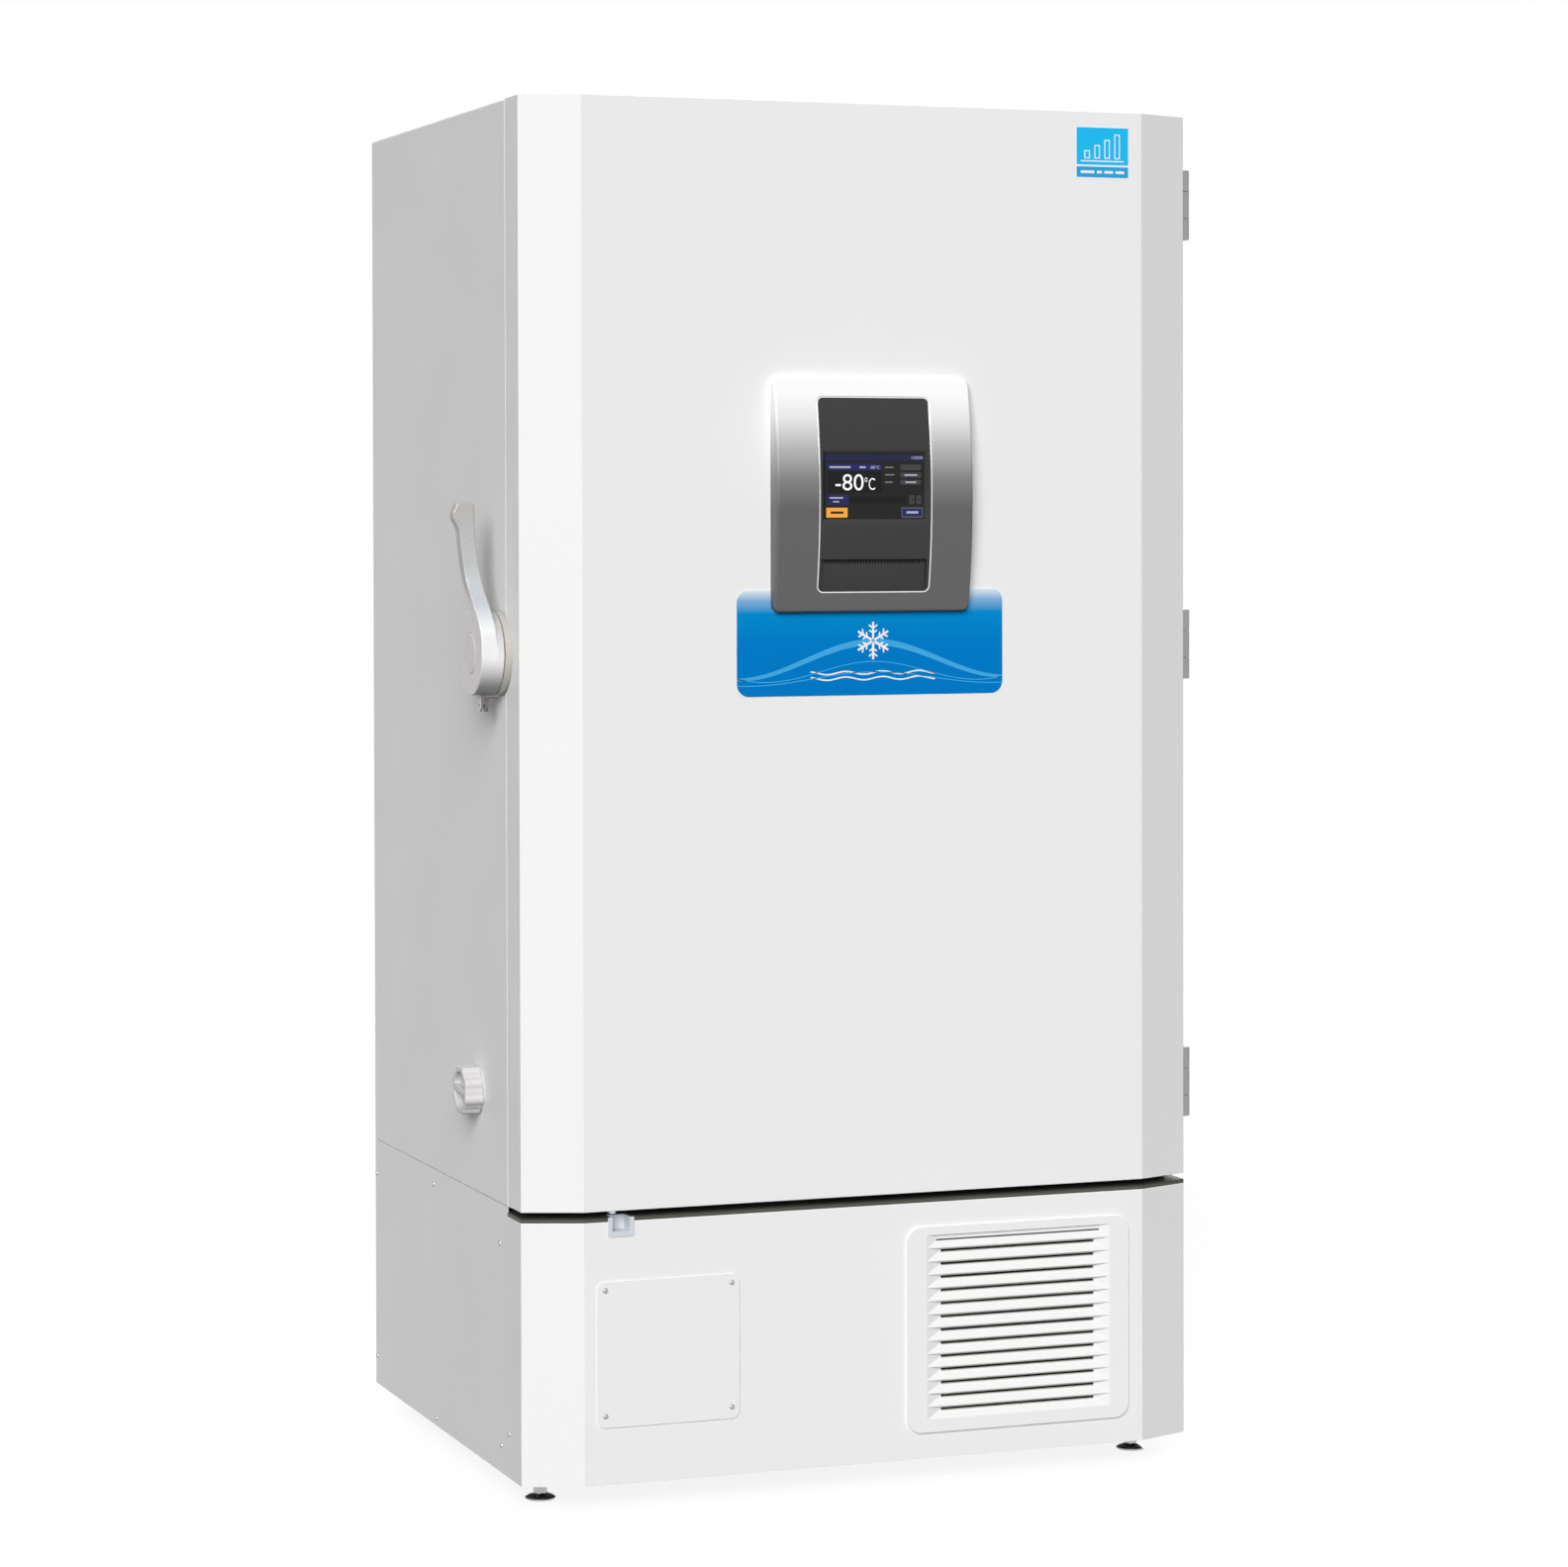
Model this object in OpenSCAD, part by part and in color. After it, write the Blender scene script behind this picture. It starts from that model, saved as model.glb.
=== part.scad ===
// Upright ultra low temperature freezer with a faceted door, a side latch, a louvred machine space
// and two insulated inner doors. Millimetres. Front towards -Y, +Z up, floor at z = 0.

/* [Cabinet] */
// Width of the cabinet
cabinet_w = 1030; // [960:5:1160]
// Depth of the cabinet body behind the door
cabinet_d = 724; // [660:2:800]
// Height from the floor to the top
total_h = 1993; // [1900:1:2060]
// Height of the seam between the base and the cabinet
seam_z = 421; // [400:1:440]
// Gap that the stand-offs keep behind the cabinet
rear_space = 61; // [40:1:80]
// Thickness of the outer steel sheet
sheet = 1.2; // [1:0.1:2]
// Insulated side wall, from the outside to the sample space
wall_side = 80; // [70:1:90]
// Insulated top wall
wall_top = 80; // [70:1:90]
// Insulated floor
wall_floor = 92; // [80:1:110]
// Insulated back wall
wall_back = 80; // [70:1:90]
// Thickness of the vacuum panels
vacuum_t = 20; // [15:1:25]
// Thickness of the steel liner
liner_t = 1; // [0.8:0.1:1.5]
// Rebate round the opening that takes the inner doors
rebate = 18; // [16:1:22]
// Depth of that rebate
rebate_d = 44; // [40:1:50]
// Number of shelves
shelf_count = 3; // [1:1:5]

/* [Door] */
// Thickness of the outer door
door_t = 94; // [84:1:110]
// Gap between the door and the cabinet
door_gap = 3; // [2:0.5:5]
// Gap between the door and the cabinet's lower edge
door_lift = 2; // [1:0.5:5]
// Width of the slanted facet along each front edge, seen from the front
facet_w = 83; // [60:1:110]
// How far back the facet reaches
facet_d = 32; // [20:1:50]
// Thickness of the gasket between the door and the cabinet
gasket_t = 12.7; // [10:0.1:16]
// Width of the gasket
gasket_w = 32; // [24:1:36]
// Depth of the door's inner pan
pan_d = 22; // [18:1:30]

/* [Inner doors] */
// Thickness of an inner door
inner_door_t = 32; // [26:1:34]
// Gap between the two inner doors
inner_split = 6; // [5:0.5:10]
// Height of the bar between them
centre_bar_h = 26; // [22:1:30]
// Radius of the inner doors' hinge pins
inner_pin_r = 4; // [3:0.5:5]

/* [Hinges] */
// Height of a door hinge
hinge_h = 103; // [80:1:130]
// Distance from the hinge axis to the side of the door
hinge_out = 16; // [15:0.5:20]
// Distance of the hinge axis behind the door front
hinge_y = 70; // [66:1:74]
// Radius of the hinge knuckles
knuckle_r = 11; // [9:0.5:12]
// Radius of the hinge pin
hinge_pin_r = 5; // [4:0.5:6]
// Distance from the door's top to the middle of the top hinge
hinge_inset_top = 127.5; // [90:0.5:200]
// Distance from the door's bottom to the middle of the bottom hinge
hinge_inset_bottom = 132; // [90:0.5:200]

/* [Latch] */
// Height of the latch pivot above the floor
latch_z = 1208; // [1150:1:1260]
// Distance of the pivot behind the door front
latch_y = 121; // [118:1:124]
// Radius of the round base and hub
latch_r = 60; // [57:0.5:64]
// Height of the round base over the door side
latch_base_h = 11; // [10:0.5:13]
// Height of the hub's outer face over the door side
hub_h = 46; // [44:1:52]
// Radius of the pivot stud
pivot_r = 8; // [7:0.5:10]
// Distance of the strike pin behind the latch pivot
strike_reach = 29; // [27:0.5:30]
// Radius of the strike pin
strike_r = 6; // [5:0.5:7]
// Length of the lever above the pivot
lever_len = 215; // [180:1:240]
// Width of the lever
lever_w = 23.5; // [20:0.5:28]
// Thickness of the lever
lever_t = 20; // [17:0.5:22]
// How far the lever's top leans out from the hub's face
lever_lean = 19; // [10:1:30]

/* [Control panel] */
// Height of the middle of the control panel above the floor
panel_z = 1432.5; // [1350:0.5:1500]
// Width of the bezel
bezel_w = 301; // [260:1:340]
// Height of the bezel
bezel_h = 335; // [300:1:370]
// Depth of the bezel at its top and bottom edges
bezel_edge = 12; // [10:1:16]
// How much further the middle of the bezel stands out
bezel_arch = 18; // [12:1:24]
// Width of the dark centre panel
centre_w = 174; // [160:1:190]
// Height of the dark centre panel
centre_h = 281; // [260:1:300]
// Width of the screen
screen_w = 154; // [130:1:156]
// Height of the screen
screen_h = 94; // [80:1:110]
// Width of the plate under the panel
info_w = 410; // [360:1:440]
// Height of the plate under the panel
info_h = 152; // [140:1:170]

/* [Base] */
// Gap between the base covers and the floor
floor_gap = 36; // [30:1:45]
// Gap between the base front and the cabinet's seam
base_drop = 7; // [5:1:12]
// Width of the intake grille
grille_w = 351; // [320:1:370]
// Height of the intake grille
grille_h = 298; // [280:1:310]
// Distance from the grille to the freezer's right side
grille_side = 107; // [100:1:120]
// Lower edge of the grille above the floor
grille_z = 74; // [68:1:84]
// Distance between louvres
louvre_pitch = 19.2; // [18:0.1:20]
// Number of louvres
louvre_count = 14; // [8:1:14]
// Depth of a louvre
louvre_d = 6; // [4:0.5:7]
// Height of the open slot at the back of a louvre
slot_h = 4.2; // [3:0.1:6]
// Width of the blank plate
blank_w = 213; // [180:1:230]
// Height of the blank plate
blank_h = 206.5; // [180:0.5:230]

/* [Feet and wheels] */
// Radius of a levelling foot's pad
pad_r = 22; // [18:1:28]
// Distance of the feet from the freezer's sides
foot_side = 51; // [40:1:60]
// Distance of the feet behind the door front
foot_y = 109; // [104:1:118]
// Radius of a caster wheel
wheel_r = 27; // [24:0.5:28]
// How far the feet lift the front wheels off the floor
front_lift = 3; // [1:0.5:4]

/* [Access port] */
// Height of the access port above the floor
port_z = 572; // [560:1:600]
// Distance of the access port behind the door front
port_y = 242; // [200:1:300]
// Bore radius of the port sleeve
port_r = 15; // [8:0.5:20]
// Radius of the cap
cap_r = 36.5; // [32:0.5:40]

/* [Hidden] */
$fn = 64;

// Fits and clearances
run_fit = 0.05;      // radial clearance of a pin that turns in its bore
loose_fit = 0.3;     // clearance of a part that only lies in its seat
eps = 0.5;           // overrun of a cut through a face

// Outer box of the cabinet
half_w = cabinet_w / 2;
cab_y0 = door_t + door_gap;
cab_y1 = cab_y0 + cabinet_d;
door_z0 = seam_z + door_lift;
base_top = seam_z - base_drop;
flat_half = half_w - facet_w;

// Sample space
in_half = half_w - wall_side;
in_z0 = seam_z + wall_floor;
in_z1 = total_h - wall_top;
in_y0 = cab_y0 + rebate_d;
in_y1 = cab_y1 - wall_back;
mid_z = (in_z0 + in_z1) / 2;
breaker_t = 2;
ledge_t = 2;
reb_half = in_half + rebate;
reb_z0 = in_z0 - rebate;
reb_z1 = in_z1 + rebate;
shelf_pitch = (in_z1 - in_z0) / (shelf_count + 1);
track_w = 20;
track_t = 3;
track_inset = 66;    // from the liner's front and back to the tracks' middles
clip_h = 8;
clip_reach = 14;

// Refrigeration in the walls
tube_r = 4;
tube_gap = 3;
tube_bend = 18;
coil_bend = 11;      // tight enough to clear the liner's square back corners
coil_runs = 6;
coil_x = in_half + liner_t + tube_gap + tube_r;
coil_y = in_y1 + liner_t + tube_gap + tube_r;
coil_z0 = in_z0 + 127;
coil_pitch = (in_z1 - coil_z0 - 53) / (coil_runs - 1);
tail_y = in_y1 - 41;
tail_low = seam_z - 21;
port_tube_t = 2.5;
port_flange_t = 2;

// Outer door
rim_y = cab_y0 - gasket_t - loose_fit;
rim_inset = 11;
gasket_inset = 15;
pan_half = reb_half + 7;
pan_z0 = reb_z0 - 10;
pan_z1 = reb_z1 + 10;
pan_y = rim_y - pan_d;
liner_wall = 1.5;
flange_w = rim_inset;
hinge_x = half_w + hinge_out;
leaf_t = 4;
hinge_zs = [door_z0 + hinge_inset_bottom, (door_z0 + hinge_inset_bottom + total_h - hinge_inset_top) / 2,
    total_h - hinge_inset_top];
knuckle_share = 0.3; // share of the hinge's height in each fixed knuckle
knuckle_gap = 0.5;

// Inner doors
inner_y0 = cab_y0 + 4;
inner_y1 = inner_y0 + inner_door_t;
inner_seat = in_y0 - ledge_t;
inner_half = reb_half - 4;
inner_pivot_x = in_half + 10;
inner_edge = 4;      // gap over and under the pair of inner doors
inner_boss_r = inner_pin_r + 3;
inner_pin_len = 20;
pin_plate_t = 3;
inner_gasket_w = 10;
upper_z0 = mid_z + inner_split / 2;
upper_z1 = reb_z1 - inner_edge;
lower_z0 = reb_z0 + inner_edge;
lower_z1 = mid_z - inner_split / 2;
inner_handle_x = -inner_half + 40;

// Side latch. Angles are taken from +Y towards +Z round the pivot.
side_gap = 2.5;      // space between the overhanging latch and the cabinet side
base_x = -half_w - side_gap;
base_out_x = -half_w - latch_base_h;
hub_in_x = base_out_x - 1;
hub_out_x = -half_w - hub_h;
hub_face_t = 4;
skirt_t = 3;
skirt_from = 98;
skirt_to = 262;
hook_clear = 0.5;
hook_in_r = strike_reach + strike_r + hook_clear;
hook_out_r = hook_in_r + 6.5;
hook_t = 10;
strike_out_x = -half_w - 26;
wall_out_r = latch_r - skirt_t - 1;
wall_in_r = wall_out_r - 4;
slot_half_angle = 13;
hub_boss_r = pivot_r + 6;
eye_t = 4;
eye_r = 8;
eye_hole_r = 3.5;
eye_drop = latch_r + 15;
lever_out_x = hub_out_x - lever_lean;
lever_top_z = latch_z + lever_len;
nose = 8;            // how far the lever's tip flares outwards
nose_len = 32;
face_ring_r = 28.5;

// Control panel
arch_r = (pow(bezel_h / 2, 2) + pow(bezel_arch, 2)) / (2 * bezel_arch);
arch_y = -bezel_edge - bezel_arch + arch_r;
trim_t = 2;
centre_sink = 2;
screen_sink = 5;
screen_t = 3;
screen_dz = 12.5;    // middle of the screen above the middle of the panel
screen_bevel_x = 6;  // how much the recess widens at each side and at its top and bottom
screen_bevel_z = 10;
ledge_h = 38;        // height of the sloping ledge at the panel's lower end
ledge_sink = 15;     // how deep its upper edge lies behind the bezel's edge
vent_slits = 16;     // slits on each side of the middle
vent_pitch = 4.5;
info_t = 1;
info_z0 = panel_z - bezel_h / 2 - 120;

// Base
grille_right = half_w - grille_side;
grille_x0 = grille_right - grille_w;
grille_mid_x = grille_right - grille_w / 2;
grille_mid_z = grille_z + grille_h / 2;
grille_proud = 4;
grille_plug = 4;     // how far the grille's back reaches into its opening
plug_inset = 25;
flare_half = grille_w / 2 - 30;
slot_half = flare_half - 24;
lip_slope = 3;       // height of the slanted wall over each louvre
louvre_top_z = grille_mid_z + louvre_pitch * louvre_count / 2;
open_inset = 18;
blank_x0 = -half_w + 101.5;
blank_z0 = 117;
blank_t = 2;
blank_screw_in = 12;
key_x = -half_w + 137.5;
key_w = 25;
key_rim = 7;
key_z0 = base_top - 20;
key_d = 26;
post_w = 30;
sill_z0 = floor_gap + 2;
deck_z = 98;
deck_t = 2;
rail_x = half_w - 95;
rail_w = 50;
rail_z0 = 58;
beam_t = 2.5;
hem = 15;

// Screws: [y, z] on the sides
screw_r = 2;
screw_head_r = 4;
screw_len = 10;
side_screws = [[cab_y1 - 8, seam_z - 52], [484, seam_z - 22], [136, seam_z - 57], [cab_y1 - 8, 80],
    [472, 47], [131, 75]];
return_screw = [93, 98.5];

// Feet and wheels
foot_x = half_w - foot_side;
stud_r = 6;
foot_slide_up = 10;
wheel_w = 24;
axle_r = 5;
fork_t = 3;
fork_gap = 3;
wheel_front_y = cab_y0 + 213;
wheel_rear_y = cab_y1 - 81;

// Machine space
fan_x = grille_mid_x;
fan_z = grille_mid_z + 6;
fan_r = 100;
coil_front_y = 112;
coil_deep = 48;
shroud_y = coil_front_y + coil_deep;
motor_y = shroud_y + 45;
coil_low_z = deck_z + deck_t;
condenser_half = 158;
condenser_h = 262;
exchanger_x = -half_w + 155;
exchanger_y = cab_y1 - 200;
exchanger_h = 210;
compressor_y = cab_y1 - 241;
compressor_sites = [[exchanger_x + 250, compressor_y], [exchanger_x + 550, compressor_y]];
control_x = -half_w + 165;
control_y = cab_y0 + 170;
control_half_w = 110;
control_half_d = 120;
control_h = 190;
inlet_x = -half_w + 115;
inlet_z = seam_z - 70;
rear_vent_w = (cabinet_w - 570) / 2;
rear_vent_xs = [-half_w + 185, half_w - 225 - rear_vent_w];
spacer_x = half_w - 115;
spacer_zs = [total_h - 160, seam_z + 279];
spacer_half_w = 45;
spacer_half_h = 20;
spacer_t = 2;

// The origin lies on the floor, under the middle of everything
x_low = lever_out_x - nose;
x_high = hinge_x + knuckle_r;
y_low = -bezel_edge - bezel_arch;
y_high = cab_y1 + rear_space;
frame_shift = [-(x_low + x_high) / 2, -(y_low + y_high) / 2, 0];

// Colours
white_paint = "#f0f0ef";
grey_paint = "#9b9b9b";
foam_tone = "#e8dcb0";
steel_tone = "#c8ccd0";
light_plastic = "#e4e4e2";
dark_plastic = "#3f4042";

// Helpers

module in_frame() translate(frame_shift) children();

module block(x0, x1, y0, y1, z0, z1) translate([x0, y0, z0]) cube([x1 - x0, y1 - y0, z1 - z0]);

// A drawing of (x, z), raised along Y from y0 to y1
module along_y(y0, y1) translate([0, y1, 0]) rotate([90, 0, 0]) linear_extrude(y1 - y0) children();

// A drawing of (y, z), raised along X from x0 to x1
module along_x(x0, x1) translate([x0, 0, 0]) rotate([90, 0, 90]) linear_extrude(x1 - x0) children();

module along_z(z0, z1) translate([0, 0, z0]) linear_extrude(z1 - z0) children();

// Rectangle with round corners, given by its edges
module rounded(x0, x1, y0, y1, r) {
    translate([x0 + r, y0]) square([x1 - x0 - 2 * r, y1 - y0]);
    translate([x0, y0 + r]) square([x1 - x0, y1 - y0 - 2 * r]);
    for (x = [x0 + r, x1 - r], y = [y0 + r, y1 - r]) translate([x, y]) circle(r);
}

module ring_2d(r_in, r_out) difference() {
    circle(r_out);
    circle(r_in);
}

// Sector from angle a to angle b
module sector(r, a, b) {
    steps = max(2, ceil((b - a) / 30));
    reach = r / cos((b - a) / steps / 2);
    polygon(concat([[0, 0]], [for (i = [0:steps]) let (t = a + (b - a) * i / steps)
        reach * [cos(t), sin(t)]]));
}

module arc_band(r_in, r_out, a, b) intersection() {
    ring_2d(r_in, r_out);
    sector(r_out + 1, a, b);
}

// Tube or rod along a list of points whose legs run along the axes, with round elbows
module pipe(points, r, bend) {
    last = len(points) - 1;
    for (i = [0:last - 1]) {
        leg = points[i + 1] - points[i];
        way = leg / norm(leg);
        from = points[i] + (i > 0 ? bend : 0) * way;
        to = points[i + 1] - (i < last - 1 ? bend : 0) * way;
        rod(from, to, r);
    }
    for (i = [1:last - 1]) elbow(points[i - 1], points[i], points[i + 1], r, bend);
}

module rod(from, to, r) {
    way = to - from;
    turn = [0, acos(way.z / norm(way)), atan2(way.y, way.x)];
    translate(from) rotate(turn) cylinder(r = r, h = norm(way));
}

module elbow(before, corner, after, r, bend) {
    a = (corner - before) / norm(corner - before);
    b = (after - corner) / norm(after - corner);
    x = -b;
    y = a;
    z = cross(x, y);
    c = corner - bend * a + bend * b;
    multmatrix([[x.x, y.x, z.x, c.x], [x.y, y.y, z.y, c.y], [x.z, y.z, z.z, c.z], [0, 0, 0, 1]])
        rotate_extrude(angle = 90) translate([bend, 0]) circle(r, $fn = 24);
}

// Plan of the door and of the base front: a flat with a slanted facet at each side
module front_plan(inset, y_back) {
    slope = facet_d / facet_w;
    shift = inset * (sqrt(1 + slope * slope) - 1) / slope;
    polygon([[-half_w + inset, y_back], [-half_w + inset, facet_d + inset * slope / 2],
        [-flat_half + shift, inset], [flat_half - shift, inset],
        [half_w - inset, facet_d + inset * slope / 2], [half_w - inset, y_back]]);
}

// Cabinet

module cabinet_outline(inset, r) {
    rounded(-half_w + inset, half_w - inset, seam_z + inset, total_h - inset, r);
}

module cabinet_shell() color(white_paint) in_frame() difference() {
    along_y(cab_y0, cab_y1) cabinet_outline(0, 3);
    along_y(cab_y0 + sheet, cab_y1 + eps) cabinet_outline(sheet, 3 - sheet);
    block(-reb_half - breaker_t, reb_half + breaker_t, cab_y0 - eps, cab_y0 + sheet + eps,
        reb_z0 - breaker_t, reb_z1 + breaker_t);
    port_cut(port_r + port_tube_t + loose_fit, -half_w - eps, -half_w + 2 * sheet);
    translate([coil_x, tail_y, seam_z - eps]) cylinder(r = tube_r + loose_fit, h = 2 * sheet);
}

module port_cut(r, x0, x1) along_x(x0, x1) translate([port_y, port_z]) circle(r);

module cabinet_back() color(white_paint) in_frame()
    along_y(cab_y1 - sheet, cab_y1) cabinet_outline(sheet, 4);

function coil_path() = concat(
    [[coil_x, tail_y, tail_low], [coil_x, tail_y, coil_z0 - 60],
        [coil_x, in_y0 + 30, coil_z0 - 60]],
    [for (i = [0:coil_runs - 1]) let (z = coil_z0 + coil_pitch * i, side = i % 2 == 0 ? 1 : -1)
        each [[side * coil_x, in_y0 + 30, z], [side * coil_x, coil_y, z], [-side * coil_x, coil_y, z],
            [-side * coil_x, in_y0 + 30, z]]]);

module evaporator_coil() color("#b87333") in_frame() pipe(coil_path(), tube_r, coil_bend);

// Vacuum panels lie against the outer sheets, clear of the port and of the edges
module vacuum_panels() color("#b9bcc0") in_frame() vacuum_blocks();

module vacuum_blocks() {
    margin = 50;
    low = port_z + 48;
    high = total_h - sheet - margin;
    y0 = in_y0 + 10;
    y1 = cab_y1 - sheet - vacuum_t - 30;
    out = half_w - sheet;
    for (s = [-1, 1]) block(min(s * out, s * (out - vacuum_t)), max(s * out, s * (out - vacuum_t)),
        y0, y1, low, high);
    block(-out + margin, out - margin, cab_y1 - sheet - vacuum_t, cab_y1 - sheet, low, high);
    block(-out + margin, out - margin, y0, y1, total_h - sheet - vacuum_t, total_h - sheet);
    block(-out + margin, coil_x - 30, y0, y1, seam_z + sheet, seam_z + sheet + vacuum_t);
}

module insulation_foam() color(foam_tone) in_frame() difference() {
    along_y(cab_y0 + sheet, cab_y1 - sheet) cabinet_outline(sheet, 6);
    block(-reb_half - breaker_t, reb_half + breaker_t, cab_y0, in_y0, reb_z0 - breaker_t,
        reb_z1 + breaker_t);
    block(-in_half - liner_t, in_half + liner_t, in_y0 - eps, in_y1 + liner_t, in_z0 - liner_t,
        in_z1 + liner_t);
    vacuum_blocks();
    port_cut(port_r + port_tube_t, -half_w, -in_half);
    pipe(coil_path(), tube_r + loose_fit, coil_bend);
}

module inner_liner() color(steel_tone) in_frame() difference() {
    along_y(in_y0, in_y1 + liner_t)
        rounded(-in_half - liner_t, in_half + liner_t, in_z0 - liner_t, in_z1 + liner_t, 8);
    along_y(in_y0 - eps, in_y1) rounded(-in_half, in_half, in_z0, in_z1, 7);
    port_cut(port_r + port_tube_t + loose_fit, -in_half - 2 * liner_t, -in_half + eps);
}

module breaker_frame() color(light_plastic) in_frame() {
    difference() {
        block(-reb_half - breaker_t, reb_half + breaker_t, cab_y0, in_y0, reb_z0 - breaker_t,
            reb_z1 + breaker_t);
        block(-reb_half, reb_half, cab_y0 - eps, inner_seat, reb_z0, reb_z1);
        along_y(cab_y0, in_y0 + eps) rounded(-in_half, in_half, in_z0, in_z1, 7);
    }
    block(-in_half - 1, in_half + 1, inner_seat, in_y0, mid_z - centre_bar_h / 2,
        mid_z + centre_bar_h / 2);
    block(-in_half, in_half, in_y0 - 1, in_y0 + 11, mid_z - centre_bar_h / 2,
        mid_z + centre_bar_h / 2);
}

track_ys = [in_y0 + track_inset, in_y1 - track_inset];

module shelf_tracks() color(steel_tone) in_frame() for (s = [-1, 1], y = track_ys)
    scale_x(s) {
        difference() {
            block(in_half - track_t, in_half, y - track_w / 2, y + track_w / 2, in_z0 + 10,
                in_z1 - 10);
            for (z = [in_z0 + 35:50:in_z1 - 35])
                block(in_half - track_t - eps, in_half + eps, y - 2, y + 2, z, z + 12);
        }
        for (i = [1:shelf_count]) shelf_clip(y, in_z0 + shelf_pitch * i - clip_h);
    }

// Mirrors its children across the middle plane where s is -1
module scale_x(s) mirror([s < 0 ? 1 : 0, 0, 0]) children();

module shelf_clip(y, z) {
    x1 = in_half - track_t;
    along_y(y - 7, y + 7) polygon([[x1, z + clip_h], [x1 - clip_reach, z + clip_h],
        [x1 - clip_reach, z + clip_h - 2], [x1 - 2, z], [x1, z]]);
}

// A tray with folded edges, a row of air slots at the back and two stiffening channels
module shelves() color(steel_tone) in_frame() for (i = [1:shelf_count]) {
    half = in_half - track_t - 2;
    z = in_z0 + shelf_pitch * i;
    y0 = in_y0 + 24;
    y1 = in_y1 - 16;
    difference() {
        union() {
            block(-half, half, y0, y1, z, z + 1.5);
            for (y = [y0, y1 - 1.5]) block(-half, half, y, y + 1.5, z - 18, z + 1.5);
            for (y = [y0 + 1.5, y1 - 13.5]) block(-half, half, y, y + 12, z - 18, z - 16.5);
        }
        for (k = [-5:5]) along_z(z - 1, z + 3) translate([k * 72, y1 - 50])
            rounded(-22, 22, -5, 5, 4.9);
    }
}

// Door hinges: the fixed half carries the pin

module hinge_fixed(z) {
    share = hinge_h * knuckle_share;
    block(half_w, half_w + leaf_t, cab_y0 + 4, cab_y0 + 54, z - hinge_h / 2, z + hinge_h / 2);
    for (z0 = [z - hinge_h / 2, z + hinge_h / 2 - share]) along_z(z0, z0 + share) {
        translate([hinge_x, hinge_y]) circle(knuckle_r);
        polygon([[half_w + leaf_t - eps, cab_y0 + 4], [half_w + leaf_t - eps, cab_y0 + 30],
            [hinge_x + 8, hinge_y + 14], [hinge_x + knuckle_r, hinge_y],
            [hinge_x - knuckle_r + 1, hinge_y], [hinge_x - knuckle_r + 1, cab_y0]]);
    }
    translate([hinge_x, hinge_y, z - hinge_h / 2]) cylinder(r = hinge_pin_r, h = hinge_h);
}

module cabinet_hinges() color(grey_paint) in_frame() for (z = hinge_zs) hinge_fixed(z);

module hinge_moving(z) {
    mid = hinge_h * (1 - 2 * knuckle_share) / 2 - knuckle_gap;
    difference() {
        union() {
            block(half_w, half_w + leaf_t, facet_d + 10, door_t - 2, z - hinge_h / 2, z + hinge_h / 2);
            along_z(z - mid, z + mid) {
                translate([hinge_x, hinge_y]) circle(knuckle_r);
                translate([half_w + 1, hinge_y - 8]) square([hinge_out - 1, 16]);
            }
        }
        translate([hinge_x, hinge_y, z - hinge_h]) cylinder(r = hinge_pin_r + run_fit, h = 2 * hinge_h);
    }
}

module door_hinges() color(grey_paint) in_frame() for (z = hinge_zs) hinge_moving(z);

// Inner door pivots: plates in the rebate with pins that reach into the doors

module pin_plate(z0) block(inner_pivot_x - 9, reb_half, cab_y0 + 0.5, inner_seat, z0, z0 + pin_plate_t);

module pivot_pin(z0, z1) translate([inner_pivot_x, inner_y0, z0])
    cylinder(r = inner_pin_r, h = z1 - z0);

module inner_hinge_pins() color(steel_tone) in_frame() {
    pin_plate(reb_z1 - pin_plate_t);
    pivot_pin(upper_z1 - inner_pin_len, reb_z1 - pin_plate_t);
    pin_plate(mid_z - pin_plate_t / 2);
    pivot_pin(lower_z1 - inner_pin_len, upper_z0 + inner_pin_len);
    pin_plate(reb_z0);
    pivot_pin(reb_z0 + pin_plate_t, lower_z0 + inner_pin_len);
}

module strike_pin() color(steel_tone) in_frame() {
    y = latch_y + strike_reach;
    along_x(-half_w - 1.5, -half_w) translate([y, latch_z]) circle(2 * strike_r);
    along_x(strike_out_x + 1, -half_w - 1) translate([y, latch_z]) circle(strike_r);
    translate([strike_out_x, y, latch_z]) rotate([0, 90, 0])
        cylinder(r1 = strike_r - 1, r2 = strike_r, h = 1);
}

// Access port

module vent_sleeve() color(light_plastic) in_frame() difference() {
    union() {
        port_cut(port_r + port_tube_t, -half_w, -in_half + 1);
        port_cut(cap_r - 3, -half_w - port_flange_t, -half_w);
    }
    port_cut(port_r, -half_w - 5, -in_half + 2);
}

// Lobed cap with a stem in the sleeve, and two half-moon recesses that leave a grip bar
module vent_cap() color(light_plastic) in_frame() {
    out = -half_w - port_flange_t - loose_fit;
    face = out - 27;
    port_cut(port_r - run_fit, out - 1, -half_w + 20);
    difference() {
        union() {
            translate([0, port_y, port_z]) along_x(face + 2, out) cap_outline(0);
            translate([0, port_y, port_z]) along_x(face, face + 2) cap_outline(1.2);
        }
        translate([0, port_y, port_z]) rotate([6, 0, 0]) along_x(face - 1, face + 9)
            difference() {
                circle(cap_r - 10);
                square([2 * cap_r, 9], center = true);
            }
    }
}

module cap_outline(inset) {
    lobe = 9;
    circle(cap_r - 3 - inset);
    for (a = [0:45:315]) rotate(a + 22.5) translate([cap_r - lobe, 0]) circle(lobe - inset);
}

// Base

module beam_y(x0, x1, y0, y1, z0, z1) difference() {
    block(x0, x1, y0, y1, z0, z1);
    block(x0 + beam_t, x1 - beam_t, y0 - eps, y1 + eps, z0 + beam_t, z1 - beam_t);
}

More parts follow.
